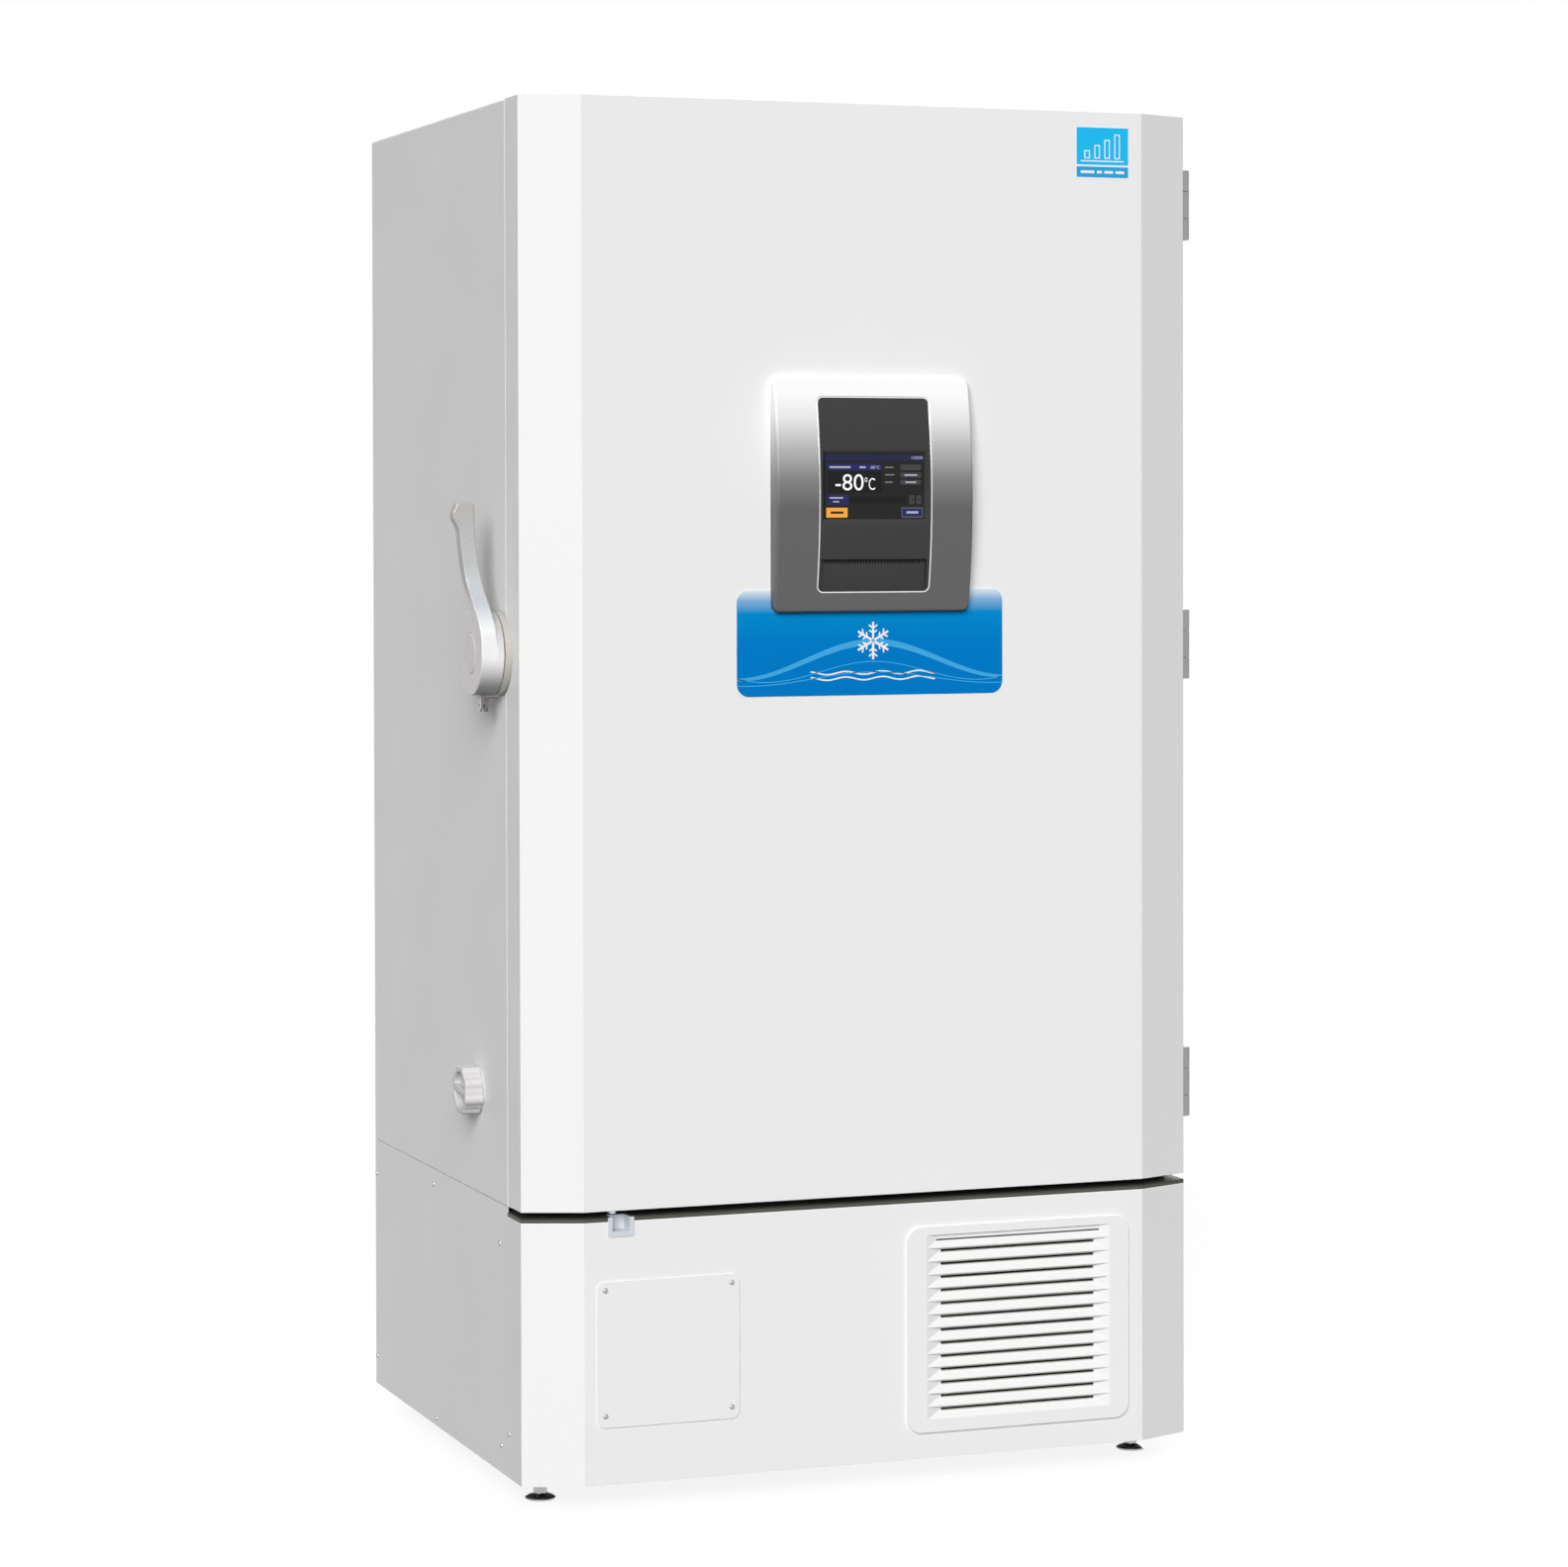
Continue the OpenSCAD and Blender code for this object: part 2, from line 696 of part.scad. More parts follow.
module angle_post(s, y0, y1, y_wall) difference() {
    x1 = half_w - sheet;
    block(min(s * (x1 - post_w), s * x1), max(s * (x1 - post_w), s * x1), y0, y1, deck_z + deck_t,
        seam_z - 30);
    block(min(s * (x1 - post_w - 1), s * (x1 - beam_t)), max(s * (x1 - post_w - 1), s * (x1 - beam_t)),
        y0 + (y_wall > 0 ? -1 : beam_t), y1 + (y_wall > 0 ? -beam_t : 1), deck_z, seam_z);
}

module base_chassis() color(white_paint) in_frame() difference() {
    out = half_w - sheet;
    y0 = cab_y0 + 8;
    y1 = cab_y1 - sheet - 4;
    union() {
        block(-out + post_w + 1, out - post_w - 1, y0, y1, deck_z, deck_z + deck_t);
        for (s = [-1, 1]) scale_x(s) {
            beam_y(out - post_w, out, y0, y1, sill_z0, deck_z + deck_t);
            beam_y(out - post_w, out, y0, y1, seam_z - 30, seam_z);
            beam_y(rail_x - rail_w / 2, rail_x + rail_w / 2, y0 + post_w, y1, rail_z0, deck_z);
            angle_post(1, y0, y0 + post_w, -1);
            angle_post(1, y1 - post_w, y1, 1);
            translate([foot_x, foot_y, rail_z0]) cylinder(r = 14, h = deck_z - rail_z0);
        }
        block(-out + post_w, out - post_w, y0, y0 + beam_t, rail_z0, deck_z);
        block(-out + post_w, out - post_w, y1 - beam_t, y1, rail_z0, deck_z);
    }
    for (s = [-1, 1]) translate([s * foot_x, foot_y, rail_z0 - 1])
        cylinder(r = stud_r + run_fit, h = deck_z);
    side_screw_holes();
    translate([coil_x, tail_y, seam_z - 60]) cylinder(r = tube_r + 2, h = 80);
}

module side_screw_holes() for (s = [-1, 1], p = side_screws)
    translate([s * half_w, p.x, p.y]) rotate([0, -90 * s, 0])
        translate([0, 0, -1]) cylinder(r = screw_r + 0.15, h = screw_len + 2);

module base_side_panels() color(white_paint) in_frame() difference() {
    for (s = [-1, 1]) scale_x(s) {
        block(half_w - sheet, half_w, cab_y0, cab_y1, floor_gap, seam_z);
        block(half_w - hem, half_w, cab_y0 + 8, cab_y1 - 6, floor_gap, floor_gap + sheet);
    }
    side_screw_holes();
}

module base_front_panel() color(white_paint) in_frame() difference() {
    union() {
        along_z(floor_gap, base_top) difference() {
            front_plan(0, cab_y0);
            front_plan(sheet, cab_y0 + eps);
        }
        along_z(base_top - sheet, base_top) front_plan(0, cab_y0);
        block(-half_w + 2 * sheet, half_w - 2 * sheet, cab_y0 - 1, cab_y0 + 8, base_top - sheet, base_top);
        along_z(floor_gap, floor_gap + sheet) difference() {
            front_plan(0, cab_y0);
            translate([-half_w + 2 * hem, hem + facet_d]) square([cabinet_w - 4 * hem, cab_y0]);
        }
    }
    along_y(-1, 2 * sheet) rounded(grille_x0 + open_inset, grille_right - open_inset,
        grille_z + open_inset, grille_z + grille_h - open_inset, 8);
    along_y(-1, 2 * sheet) rounded(blank_x0 + 20, blank_x0 + blank_w - 20, blank_z0 + 20,
        blank_z0 + blank_h - 20, 8);
    block(key_x - key_w / 2 - 2 - loose_fit, key_x + key_w / 2 + 2 + loose_fit, -1,
        key_d + 2 + loose_fit, key_z0 - 2 - loose_fit, base_top + 1);
    blank_screw_holes();
    return_screw_holes();
}

module blank_screw_holes() for (x = [blank_x0 + blank_screw_in, blank_x0 + blank_w - blank_screw_in],
    z = [blank_z0 + blank_screw_in + 5, blank_z0 + blank_h - blank_screw_in])
    translate([x, screw_len, z]) rotate([90, 0, 0]) cylinder(r = screw_r + 0.15, h = screw_len + 5);

module return_screw_holes() for (s = [-1, 1]) translate([s * half_w, return_screw.x, return_screw.y])
    rotate([0, -90 * s, 0]) translate([0, 0, -1]) cylinder(r = screw_r + 0.15, h = screw_len);

module base_rear_panel() color(white_paint) in_frame() difference() {
    out = half_w - sheet;
    block(-out, out, cab_y1 - sheet, cab_y1, floor_gap + sheet, seam_z - 0.5);
    for (k = [0:11], x = rear_vent_xs) along_y(cab_y1 - 3, cab_y1 + 1)
        translate([x, deck_z + 32 + k * 20]) rounded(0, rear_vent_w, 0, 8, 3.9);
    block(inlet_x - 28, inlet_x + 28, cab_y1 - 3, cab_y1 + 1, inlet_z - 21, inlet_z + 21);
}

module blank_plate() color(white_paint) in_frame() difference() {
    along_y(-blank_t, 0) rounded(blank_x0, blank_x0 + blank_w, blank_z0, blank_z0 + blank_h, 12);
    blank_screw_holes();
}

// Pan-head screw along +X from the outside: the head stands proud, the shank goes in
module screw() {
    rotate_extrude($fn = 24) polygon([[0, -2.2], [1.6, -2.1], [2.9, -1.7], [3.7, -1], [screw_head_r, 0],
        [0, 0]]);
    cylinder(r = screw_r, h = screw_len - 4, $fn = 24);
}

module panel_screws() color(steel_tone) in_frame() {
    for (s = [-1, 1], p = concat(side_screws, [return_screw])) translate([s * half_w, p.x, p.y])
        rotate([0, -90 * s, 0]) screw();
    for (x = [blank_x0 + blank_screw_in, blank_x0 + blank_w - blank_screw_in],
        z = [blank_z0 + blank_screw_in + 5, blank_z0 + blank_h - blank_screw_in])
        translate([x, -blank_t, z]) rotate([-90, 0, 0]) screw();
}

// Moulded pocket that leaves room for the key under the door
module key_pocket() color("#c9ccd2") in_frame() difference() {
    union() {
        along_y(-1.5, 0) rounded(key_x - key_w / 2 - key_rim, key_x + key_w / 2 + key_rim,
            key_z0 - key_rim - 1, base_top + 4, 4);
        block(key_x - key_w / 2 - 2, key_x + key_w / 2 + 2, -1, key_d + 2, key_z0 - 2, base_top);
    }
    block(key_x - key_w / 2, key_x + key_w / 2, -2, key_d, key_z0, base_top + 9);
    block(key_x - key_w, key_x + key_w, -2, key_d, base_top, base_top + 9);
}

// Louvred grille. Each louvre is a slanted recess that ends in a point at both sides, with the
// open slot at its deep upper edge. The topmost louvre has no slot.

module louvre_wedge(z, depth, half, back) intersection() {
    along_x(grille_mid_x - half, grille_mid_x + half)
        polygon([[-grille_proud - back, z + lip_slope], [-grille_proud, z + lip_slope],
            [-grille_proud + depth, z], [-grille_proud + depth, z - 1.5],
            [-grille_proud, z - louvre_pitch + lip_slope + 1.2],
            [-grille_proud - back, z - louvre_pitch + lip_slope + 1.2]]);
    along_z(z - louvre_pitch, z + lip_slope + 1) polygon([[grille_mid_x - half - 1, -grille_proud - back - 1],
        [grille_mid_x - half, -grille_proud], [grille_mid_x - slot_half, -grille_proud + depth],
        [grille_mid_x + slot_half, -grille_proud + depth], [grille_mid_x + half, -grille_proud],
        [grille_mid_x + half + 1, -grille_proud - back - 1]]);
}

module intake_grille() color(white_paint) in_frame() difference() {
    union() {
        along_y(-grille_proud, 0) rounded(grille_x0, grille_right, grille_z, grille_z + grille_h, 22);
        along_y(-1, grille_plug) rounded(grille_x0 + plug_inset, grille_right - plug_inset,
            grille_z + plug_inset, grille_z + grille_h - plug_inset, 5);
    }
    for (k = [0:louvre_count - 1]) {
        z = louvre_top_z - k * louvre_pitch;
        louvre_wedge(z, louvre_d, flare_half, 0.4);
        if (k > 0) block(grille_mid_x - slot_half, grille_mid_x + slot_half,
            -grille_proud + louvre_d - 2, grille_plug + 1, z - slot_h, z);
    }
}

module air_filter() color("#8a8f94") in_frame() {
    x0 = grille_x0 + open_inset - 6;
    x1 = grille_right - open_inset + 6;
    z0 = grille_z + open_inset - 6;
    z1 = grille_z + grille_h - open_inset + 6;
    difference() {
        block(x0, x1, sheet, sheet + 8, z0, z1);
        block(x0 + 12, x1 - 12, sheet - eps, sheet + 9, z0 + 12, z1 - 12);
    }
    for (x = [x0 + 12:20:x1 - 12]) block(x, x + 1, sheet + 6, sheet + 7, z0 + 10, z1 - 10);
    for (z = [z0 + 12:20:z1 - 12]) block(x0 + 10, x1 - 10, sheet + 6, sheet + 7, z, z + 1);
}

// Condenser: fins on a serpentine tube, between two end plates that stand on the deck
module condenser_coil() color("#c7b299") in_frame() {
    x0 = fan_x - condenser_half;
    x1 = fan_x + condenser_half;
    y_mid = coil_front_y + coil_deep / 2;
    for (x = [x0, x1 - 2])
        block(x, x + 2, coil_front_y, shroud_y, coil_low_z, coil_low_z + condenser_h);
    for (k = [1:27]) translate([x0 + k * condenser_half / 14, 0, 0])
        block(-0.4, 0.4, coil_front_y + 3, shroud_y - 3, coil_low_z + 6, coil_low_z + condenser_h - 6);
    for (k = [0:7]) {
        z = coil_low_z + 26 + k * 30;
        rod([x0 - 12, y_mid, z], [x1 + 12, y_mid, z], tube_r);
        if (k < 7) translate([k % 2 == 0 ? x1 + 12 : x0 - 12, y_mid, z + 15])
            rotate([90, k % 2 == 0 ? 90 : -90, 0]) rotate_extrude(angle = 180) translate([15, 0])
                circle(tube_r, $fn = 24);
    }
}

module fan_shroud() color(grey_paint) in_frame() difference() {
    union() {
        block(fan_x - condenser_half, fan_x + condenser_half, shroud_y, shroud_y + 1.5, coil_low_z,
            coil_low_z + condenser_h);
        along_y(shroud_y, shroud_y + 34) translate([fan_x, fan_z]) circle(fan_r + 6);
        for (s = [-1, 1]) {
            block(fan_x + s * 130 - 8, fan_x + s * 130 + 8, shroud_y, motor_y + 33, fan_z - 2, fan_z);
            block(min(fan_x + s * 138, fan_x + s * 40), max(fan_x + s * 138, fan_x + s * 40),
                motor_y + 30, motor_y + 33, fan_z - 12, fan_z + 12);
        }
    }
    along_y(shroud_y - 1, shroud_y + 35) translate([fan_x, fan_z]) circle(fan_r + 4);
    along_y(motor_y, motor_y + 60) translate([fan_x, fan_z]) circle(45);
}

module fan_motor() color("#4a4d50") in_frame() {
    along_y(motor_y, motor_y + 52) translate([fan_x, fan_z]) circle(45 - loose_fit);
    along_y(motor_y - 6, motor_y) translate([fan_x, fan_z]) circle(14);
    along_y(shroud_y + 8, motor_y) translate([fan_x, fan_z]) circle(4);
    for (a = [45:90:315]) along_y(motor_y + 52, motor_y + 56) translate([fan_x, fan_z])
        rotate(a) translate([30, 0]) circle(4);
}

fan_blade = concat([[18, 9], [18, -9], [fan_r * 0.5, -20]],
    [for (t = [-19:6:23]) (fan_r - 4) * [cos(t), sin(t)]], [[fan_r * 0.55, 22]]);

module condenser_fan() color("#2e3133") in_frame() translate([fan_x, shroud_y + 12, fan_z])
    rotate([-90, 0, 0]) difference() {
        union() {
            cylinder(r = 26, h = 20);
            for (a = [0:72:288]) rotate([0, 0, a]) translate([0, 0, 10]) rotate([30, 0, 0])
                translate([0, 0, -0.9]) linear_extrude(1.8) polygon(fan_blade);
        }
        translate([0, 0, -1]) cylinder(r = 4 + run_fit, h = 30);
    }

// Hermetic compressor on a sprung foot plate with rubber feet
module compressor() {
    for (x = [-78, 78], y = [-62, 62]) translate([x, y, coil_low_z]) cylinder(r = 14, h = 12);
    translate([0, 0, coil_low_z + 12]) linear_extrude(4) rounded(-95, 95, -78, 78, 18);
    translate([0, 0, coil_low_z + 16]) rotate_extrude() polygon(concat([[0, 0], [62, 0]],
        [for (t = [-60:15:0]) [64 + 20 * cos(t), 20 + 20 * sin(t)]],
        [for (t = [0:15:90]) [54 + 30 * cos(t), 150 + 44 * sin(t)]], [[0, 194]]));
    block(82, 104, -26, 26, coil_low_z + 60, coil_low_z + 130);
    translate([0, 0, coil_low_z + 205]) cylinder(r = 9, h = 16);
}

module compressors() color("#2b2d30") in_frame()
    for (p = compressor_sites) translate([p.x, p.y, 0]) compressor();

// Suction line from the evaporator, and discharge lines to the heat exchanger and the condenser
module refrigerant_pipes() color("#b87333") in_frame() {
    top = coil_low_z + 221;
    lines = [
        [[coil_x, tail_y, tail_low], [coil_x, tail_y, top + 60],
            [compressor_sites[1].x, tail_y, top + 60],
            [compressor_sites[1].x, compressor_sites[1].y, top + 60],
            [compressor_sites[1].x, compressor_sites[1].y, top]],
        [[compressor_sites[0].x, compressor_sites[0].y, top],
            [compressor_sites[0].x, compressor_sites[0].y, top + 30],
            [exchanger_x, compressor_sites[0].y, top + 30],
            [exchanger_x, compressor_sites[0].y, coil_low_z + exchanger_h]]];
    for (line = lines) pipe(line, tube_r, tube_bend);
}

module heat_exchanger() color("#1f2022") in_frame() translate([exchanger_x, exchanger_y, coil_low_z]) {
    along_z(0, exchanger_h) rounded(-85, 85, -150, 150, 24);
    for (z = [50, 160]) along_z(z, z + 14) difference() {
        rounded(-87, 87, -152, 152, 26);
        rounded(-85, 85, -150, 150, 24);
    }
}

// Electrical box with a lipped lid and cooling slots
module control_box() color(steel_tone) in_frame() translate([control_x, control_y, coil_low_z])
    difference() {
        union() {
            control_block(0, 0, control_h);
            control_block(3, control_h - 10, control_h + 3);
        }
        control_block(-2, 2, control_h + 1);
        for (k = [0:8]) block(-control_half_w - 10, control_half_w + 10, k * 18 - 80, k * 18 - 73, 50, 130);
    }

module control_block(grow, z0, z1) block(-control_half_w - grow, control_half_w + grow,
    -control_half_d - grow, control_half_d + grow, z0, z1);

// Recessed three-pin appliance inlet
module power_inlet() color(dark_plastic) in_frame() translate([inlet_x, cab_y1, inlet_z]) {
    difference() {
        union() {
            along_y(0, 3) rounded(-34, 34, -27, 27, 5);
            block(-27.5, 27.5, -26, 1, -20.5, 20.5);
        }
        along_y(-23, 4) rounded(-18, 18, -13, 13, 4);
    }
    for (p = [[-9, 3], [9, 3], [0, -5]]) block(p.x - 1, p.x + 1, -24, -6, p.y - 2.5, p.y + 2.5);
}

// Folded stand-offs on the back
module rear_spacers() color(white_paint) in_frame() for (s = [-1, 1], z = spacer_zs)
    translate([s * spacer_x, cab_y1, z]) difference() {
        block(-spacer_half_w, spacer_half_w, 0, rear_space, -spacer_half_h, spacer_half_h);
        block(-spacer_half_w + spacer_t, spacer_half_w - spacer_t, spacer_t, rear_space - spacer_t,
            -spacer_half_h - 1, spacer_half_h + 1);
    }

// Casters: fork plates and axles hang under the rails

module caster(x, y, z) {
    for (s = [-1, 1]) translate([x + s * (wheel_w / 2 + fork_gap + fork_t / 2) - fork_t / 2, 0, 0])
        along_x(0, fork_t) difference() {
            union() {
                translate([y - 16, z]) square([32, rail_z0 - z]);
                translate([y, z]) circle(16);
            }
            translate([y - 20, 0]) square([40, 6]);
        }
    along_x(x - wheel_w / 2 - fork_gap - fork_t - 1, x + wheel_w / 2 + fork_gap + fork_t + 1)
        translate([y, z]) circle(axle_r);
}

module caster_brackets() color(steel_tone) in_frame() for (s = [-1, 1]) {
    caster(s * rail_x, wheel_front_y, wheel_r + front_lift);
    caster(s * rail_x, wheel_rear_y, wheel_r);
}

module wheel(x, y, z) color("#3a3a3a") in_frame() translate([x, y, z]) rotate([0, 90, 0])
    rotate_extrude() difference() {
        union() {
            translate([axle_r + run_fit, -wheel_w / 2]) square([wheel_r - axle_r - run_fit - 3, wheel_w]);
            translate([axle_r + 3, -wheel_w / 2 + 3]) square([wheel_r - axle_r - 3, wheel_w - 6]);
            for (z = [-1, 1]) translate([wheel_r - 3, z * (wheel_w / 2 - 3)]) circle(3);
        }
        for (z = [-1, 1]) translate([axle_r + 5, z * wheel_w / 2]) translate([0, -3]) square([8, 6]);
    }

module wheel_front_left() wheel(-rail_x, wheel_front_y, wheel_r + front_lift);
module wheel_front_right() wheel(rail_x, wheel_front_y, wheel_r + front_lift);
module wheel_rear_left() wheel(-rail_x, wheel_rear_y, wheel_r);
module wheel_rear_right() wheel(rail_x, wheel_rear_y, wheel_r);

// Levelling foot: dished pad, hex nut and stud
module foot(x) color(steel_tone) in_frame() translate([x, foot_y, 0]) {
    rotate_extrude() polygon([[0, 0], [pad_r - 1, 0], [pad_r, 1], [pad_r, 2.5], [pad_r - 4, 5],
        [pad_r - 10, 7], [9, 9], [0, 9]]);
    cylinder(r = 10.5, h = 20, $fn = 6);
    cylinder(r = stud_r, h = rail_z0 + 30);
}

module foot_left() foot(-foot_x);
module foot_right() foot(foot_x);

// Outer door

module key_hole(r) translate([key_x - 7.5, 20, door_z0 - eps]) cylinder(r = r, h = 42);

module door_skin() color(white_paint) in_frame() difference() {
    along_z(door_z0, total_h) front_plan(0, door_t);
    along_z(door_z0 + sheet, total_h - sheet) front_plan(sheet, door_t - sheet);
    block(-half_w + flange_w, half_w - flange_w, door_t - 2 * sheet, door_t + 1, door_z0 + flange_w,
        total_h - flange_w);
    key_hole(9 + run_fit);
}

module pan_block(grow, y0, y1) block(-pan_half - grow, pan_half + grow, y0, y1, pan_z0 - grow,
    pan_z1 + grow);

module door_insulation() color(foam_tone) in_frame() difference() {
    along_z(door_z0 + sheet, total_h - sheet) front_plan(sheet, rim_y - liner_wall);
    pan_block(liner_wall, pan_y - liner_wall, door_t);
    key_hole(9 + run_fit);
}

// Vacuum-formed inner panel: rim, channel for the gasket's barb, and a sunk pan with two ribs
module door_liner() color(light_plastic) in_frame() {
    rim = half_w - rim_inset;
    difference() {
        union() {
            block(-rim, rim, rim_y - liner_wall, rim_y, door_z0 + rim_inset, total_h - rim_inset);
            pan_block(liner_wall, pan_y - liner_wall, rim_y);
            difference() {
                block(-rim, rim, rim_y - liner_wall, door_t, door_z0 + rim_inset,
                    total_h - rim_inset);
                block(-rim + liner_wall, rim - liner_wall, rim_y - liner_wall, door_t + 1,
                    door_z0 + rim_inset + liner_wall, total_h - rim_inset - liner_wall);
            }
        }
        pan_block(0, pan_y, door_t + 1);
    }
    for (z = [mid_z - 230, mid_z + 230])
        block(-pan_half + 60, pan_half - 60, pan_y, pan_y + 5, z - 20, z + 20);
}

// Magnetic gasket: barbed foot, narrow web and wide sealing face
module frame_ring(inset_out, inset_in, y0, y1) difference() {
    block(-half_w + inset_out, half_w - inset_out, y0, y1, door_z0 + inset_out, total_h - inset_out);
    block(-half_w + inset_in, half_w - inset_in, y0 - 1, y1 + 1, door_z0 + inset_in,
        total_h - inset_in);
}

module door_gasket() color("#8d8f90") in_frame() {
    step = gasket_w / 8;
    frame_ring(gasket_inset + step, gasket_inset + gasket_w - step, rim_y, rim_y + 3);
    frame_ring(gasket_inset + 2.5 * step, gasket_inset + gasket_w - 2.5 * step, rim_y + 2, rim_y + 8);
    frame_ring(gasket_inset, gasket_inset + gasket_w, rim_y + 7, rim_y + gasket_t);
}

// Side latch

module at_pivot() translate([0, latch_y, latch_z]) children();

module latch_base() color(steel_tone) in_frame() {
    difference() {
        union() {
            at_pivot() along_x(base_out_x, base_x) circle(latch_r);
            intersection() {
                at_pivot() along_x(base_x - 1, -half_w) circle(latch_r - 2);
                block(-half_w - 10, -half_w, 0, door_t - 2, latch_z - 100, latch_z + 100);
            }
        }
        at_pivot() along_x(base_out_x - 1, -half_w + 1) {
            translate([strike_reach, 0]) circle(strike_r + 2.5);
            translate([strike_reach, -strike_r - 2.5]) square([latch_r, 2 * strike_r + 5]);
        }
    }
    at_pivot() along_x(-half_w - 26, base_out_x) {
        arc_band(wall_in_r, wall_out_r, slot_half_angle, 90);
        arc_band(wall_in_r, wall_out_r, -90, -slot_half_angle);
    }
    at_pivot() along_x(hub_out_x + hub_face_t + 1, base_out_x) circle(pivot_r);
    base_eye();
}

// Padlock eye of the base: out from the disc, then down
module base_eye() {
    x0 = hub_in_x - 13;
    z1 = latch_z - latch_r - hook_clear;
    at_pivot() translate([0, 0, -latch_r - hook_clear - eye_t])
        block(x0, base_out_x + 2, -eye_r, eye_r, 0, eye_t);
    block(base_out_x, base_out_x + 4, latch_y - eye_r, latch_y + eye_r, z1 - eye_t, z1 + 3);
    along_x(x0, x0 + eye_t) difference() {
        union() {
            translate([latch_y - eye_r, latch_z - eye_drop]) square([2 * eye_r, z1 - latch_z + eye_drop]);
            translate([latch_y, latch_z - eye_drop]) circle(eye_r);
        }
        translate([latch_y, latch_z - eye_drop]) circle(eye_hole_r);
    }
}

// How far the lever has moved from one line to the other at height t (0 to 1)
function ease(t) = t <= 0 ? 0 : t >= 1 ? 1 : t * t * (3 - 2 * t);

lever_zs = [for (i = [0:16]) latch_z + lever_len * (0.0 + i / 16)];
function lever_y(z) = latch_y - latch_r + 0.3 + (latch_r - 11) * ease((z - latch_z - 18) / 100);
function lever_x(z) = hub_out_x - lever_lean * ease((z - latch_z - 10) / 190);

module lever_side() polygon(concat(
    [for (z = lever_zs) [lever_y(z), z]],
    [for (i = [len(lever_zs) - 1:-1:0]) [lever_y(lever_zs[i]) + lever_t, lever_zs[i]]]));

module lever_front() polygon(concat(
    [for (i = [0:13]) [lever_x(lever_zs[i]), lever_zs[i]]],
    [[lever_out_x - nose * 0.35, lever_top_z - nose_len], [lever_out_x - nose, lever_top_z - nose_len * 0.72],
        [lever_out_x - nose, lever_top_z - nose_len * 0.5], [lever_out_x - nose * 0.3, lever_top_z - 2.5],
        [lever_out_x + 2, lever_top_z], [lever_out_x + lever_w - 4, lever_top_z],
        [lever_out_x + lever_w, lever_top_z - 5]],
    [for (i = [len(lever_zs) - 2:-1:0]) [lever_x(lever_zs[i]) + lever_w, lever_zs[i]]]));

module latch_lever() color(steel_tone) in_frame() {
    difference() {
        union() {
            at_pivot() along_x(hub_out_x, hub_out_x + hub_face_t) circle(latch_r);
            at_pivot() along_x(hub_out_x, hub_in_x)
                arc_band(latch_r - skirt_t, latch_r, skirt_from, skirt_to);
            at_pivot() along_x(hub_out_x, base_out_x - hook_clear) circle(hub_boss_r);
            intersection() {
                along_x(lever_out_x - 30, hub_in_x) lever_side();
                along_y(0, latch_y + latch_r) lever_front();
            }
            lever_hook();
            lever_eye();
        }
        at_pivot() along_x(hub_out_x + 2, base_x) circle(pivot_r + run_fit);
        at_pivot() along_x(hub_out_x - 1, hub_out_x + 2) circle(face_ring_r + loose_fit);
    }
}

module lever_hook() at_pivot() along_x(hub_in_x - hook_t, base_out_x - hook_clear) {
    arc_band(hook_in_r, hook_out_r, -20, 60);
    intersection() {
        difference() {
            circle(hook_out_r);
            circle(pivot_r + 1);
        }
        sector(hook_out_r + 1, 54, 76);
    }
}

// Padlock eye of the lever: a web from the boss down to the eye
module lever_eye() along_x(hub_in_x - 13 - 2 * eye_t, hub_in_x - 13 - eye_t) difference() {
    union() {
        translate([latch_y - eye_r, latch_z - eye_drop]) square([2 * eye_r, eye_drop]);
        translate([latch_y, latch_z - eye_drop]) circle(eye_r);
    }
    translate([latch_y, latch_z - eye_drop]) circle(eye_hole_r);
}

module latch_cap() color("#d2cfcc") in_frame() at_pivot() rotate([0, -90, 0])
    translate([0, 0, -hub_out_x - 2]) rotate_extrude()
        polygon([[0, 0], [face_ring_r, 0], [face_ring_r, 2], [face_ring_r - 1, 2.6], [12, 3], [0, 3]]);

// Control panel

module arch_plan(lift) translate([arch_y, panel_z]) circle(arch_r - lift, $fn = 180);

// What lies between the door and an arched face that is sunk by lift
module arched(x0, x1, z0, z1, r, lift, y_back) intersection() {
    along_y(-bezel_edge - bezel_arch - 5, y_back) rounded(x0, x1, z0, z1, r);
    along_x(x0 - 1, x1 + 1) arch_plan(lift);
}

module control_bezel() color("#c9c9cb") in_frame() difference() {
    arched(-bezel_w / 2, bezel_w / 2, panel_z - bezel_h / 2, panel_z + bezel_h / 2, 10, 0, 0);
    along_y(-50, 1) rounded(-centre_w / 2, centre_w / 2, panel_z - centre_h / 2,
        panel_z + centre_h / 2, 10);
}

module panel_trim() color("#e8e8ea") in_frame() difference() {
    arched(-centre_w / 2, centre_w / 2, panel_z - centre_h / 2, panel_z + centre_h / 2, 10, 0.4, 0);
    along_y(-50, 1) rounded(-centre_w / 2 + trim_t, centre_w / 2 - trim_t,
        panel_z - centre_h / 2 + trim_t, panel_z + centre_h / 2 - trim_t, 8);
}

screen_z = panel_z + screen_dz;
screen_face = -bezel_edge - bezel_arch + centre_sink + screen_sink;

module screen_frame_cut(grow, y0, y1) block(-screen_w / 2 - grow, screen_w / 2 + grow, y0, y1,
    screen_z - screen_h / 2 - grow, screen_z + screen_h / 2 + grow);

// Bevelled recess round the screen: wide at the panel's face, narrow at the glass
module screen_bevel() intersection() {
    y_face = -bezel_edge - bezel_arch;
    along_x(-centre_w, centre_w) bevel_outline(y_face, screen_z, screen_h, screen_bevel_z);
    along_z(screen_z - screen_h, screen_z + screen_h) mirror([1, -1, 0])
        bevel_outline(y_face, 0, screen_w, screen_bevel_x);
}

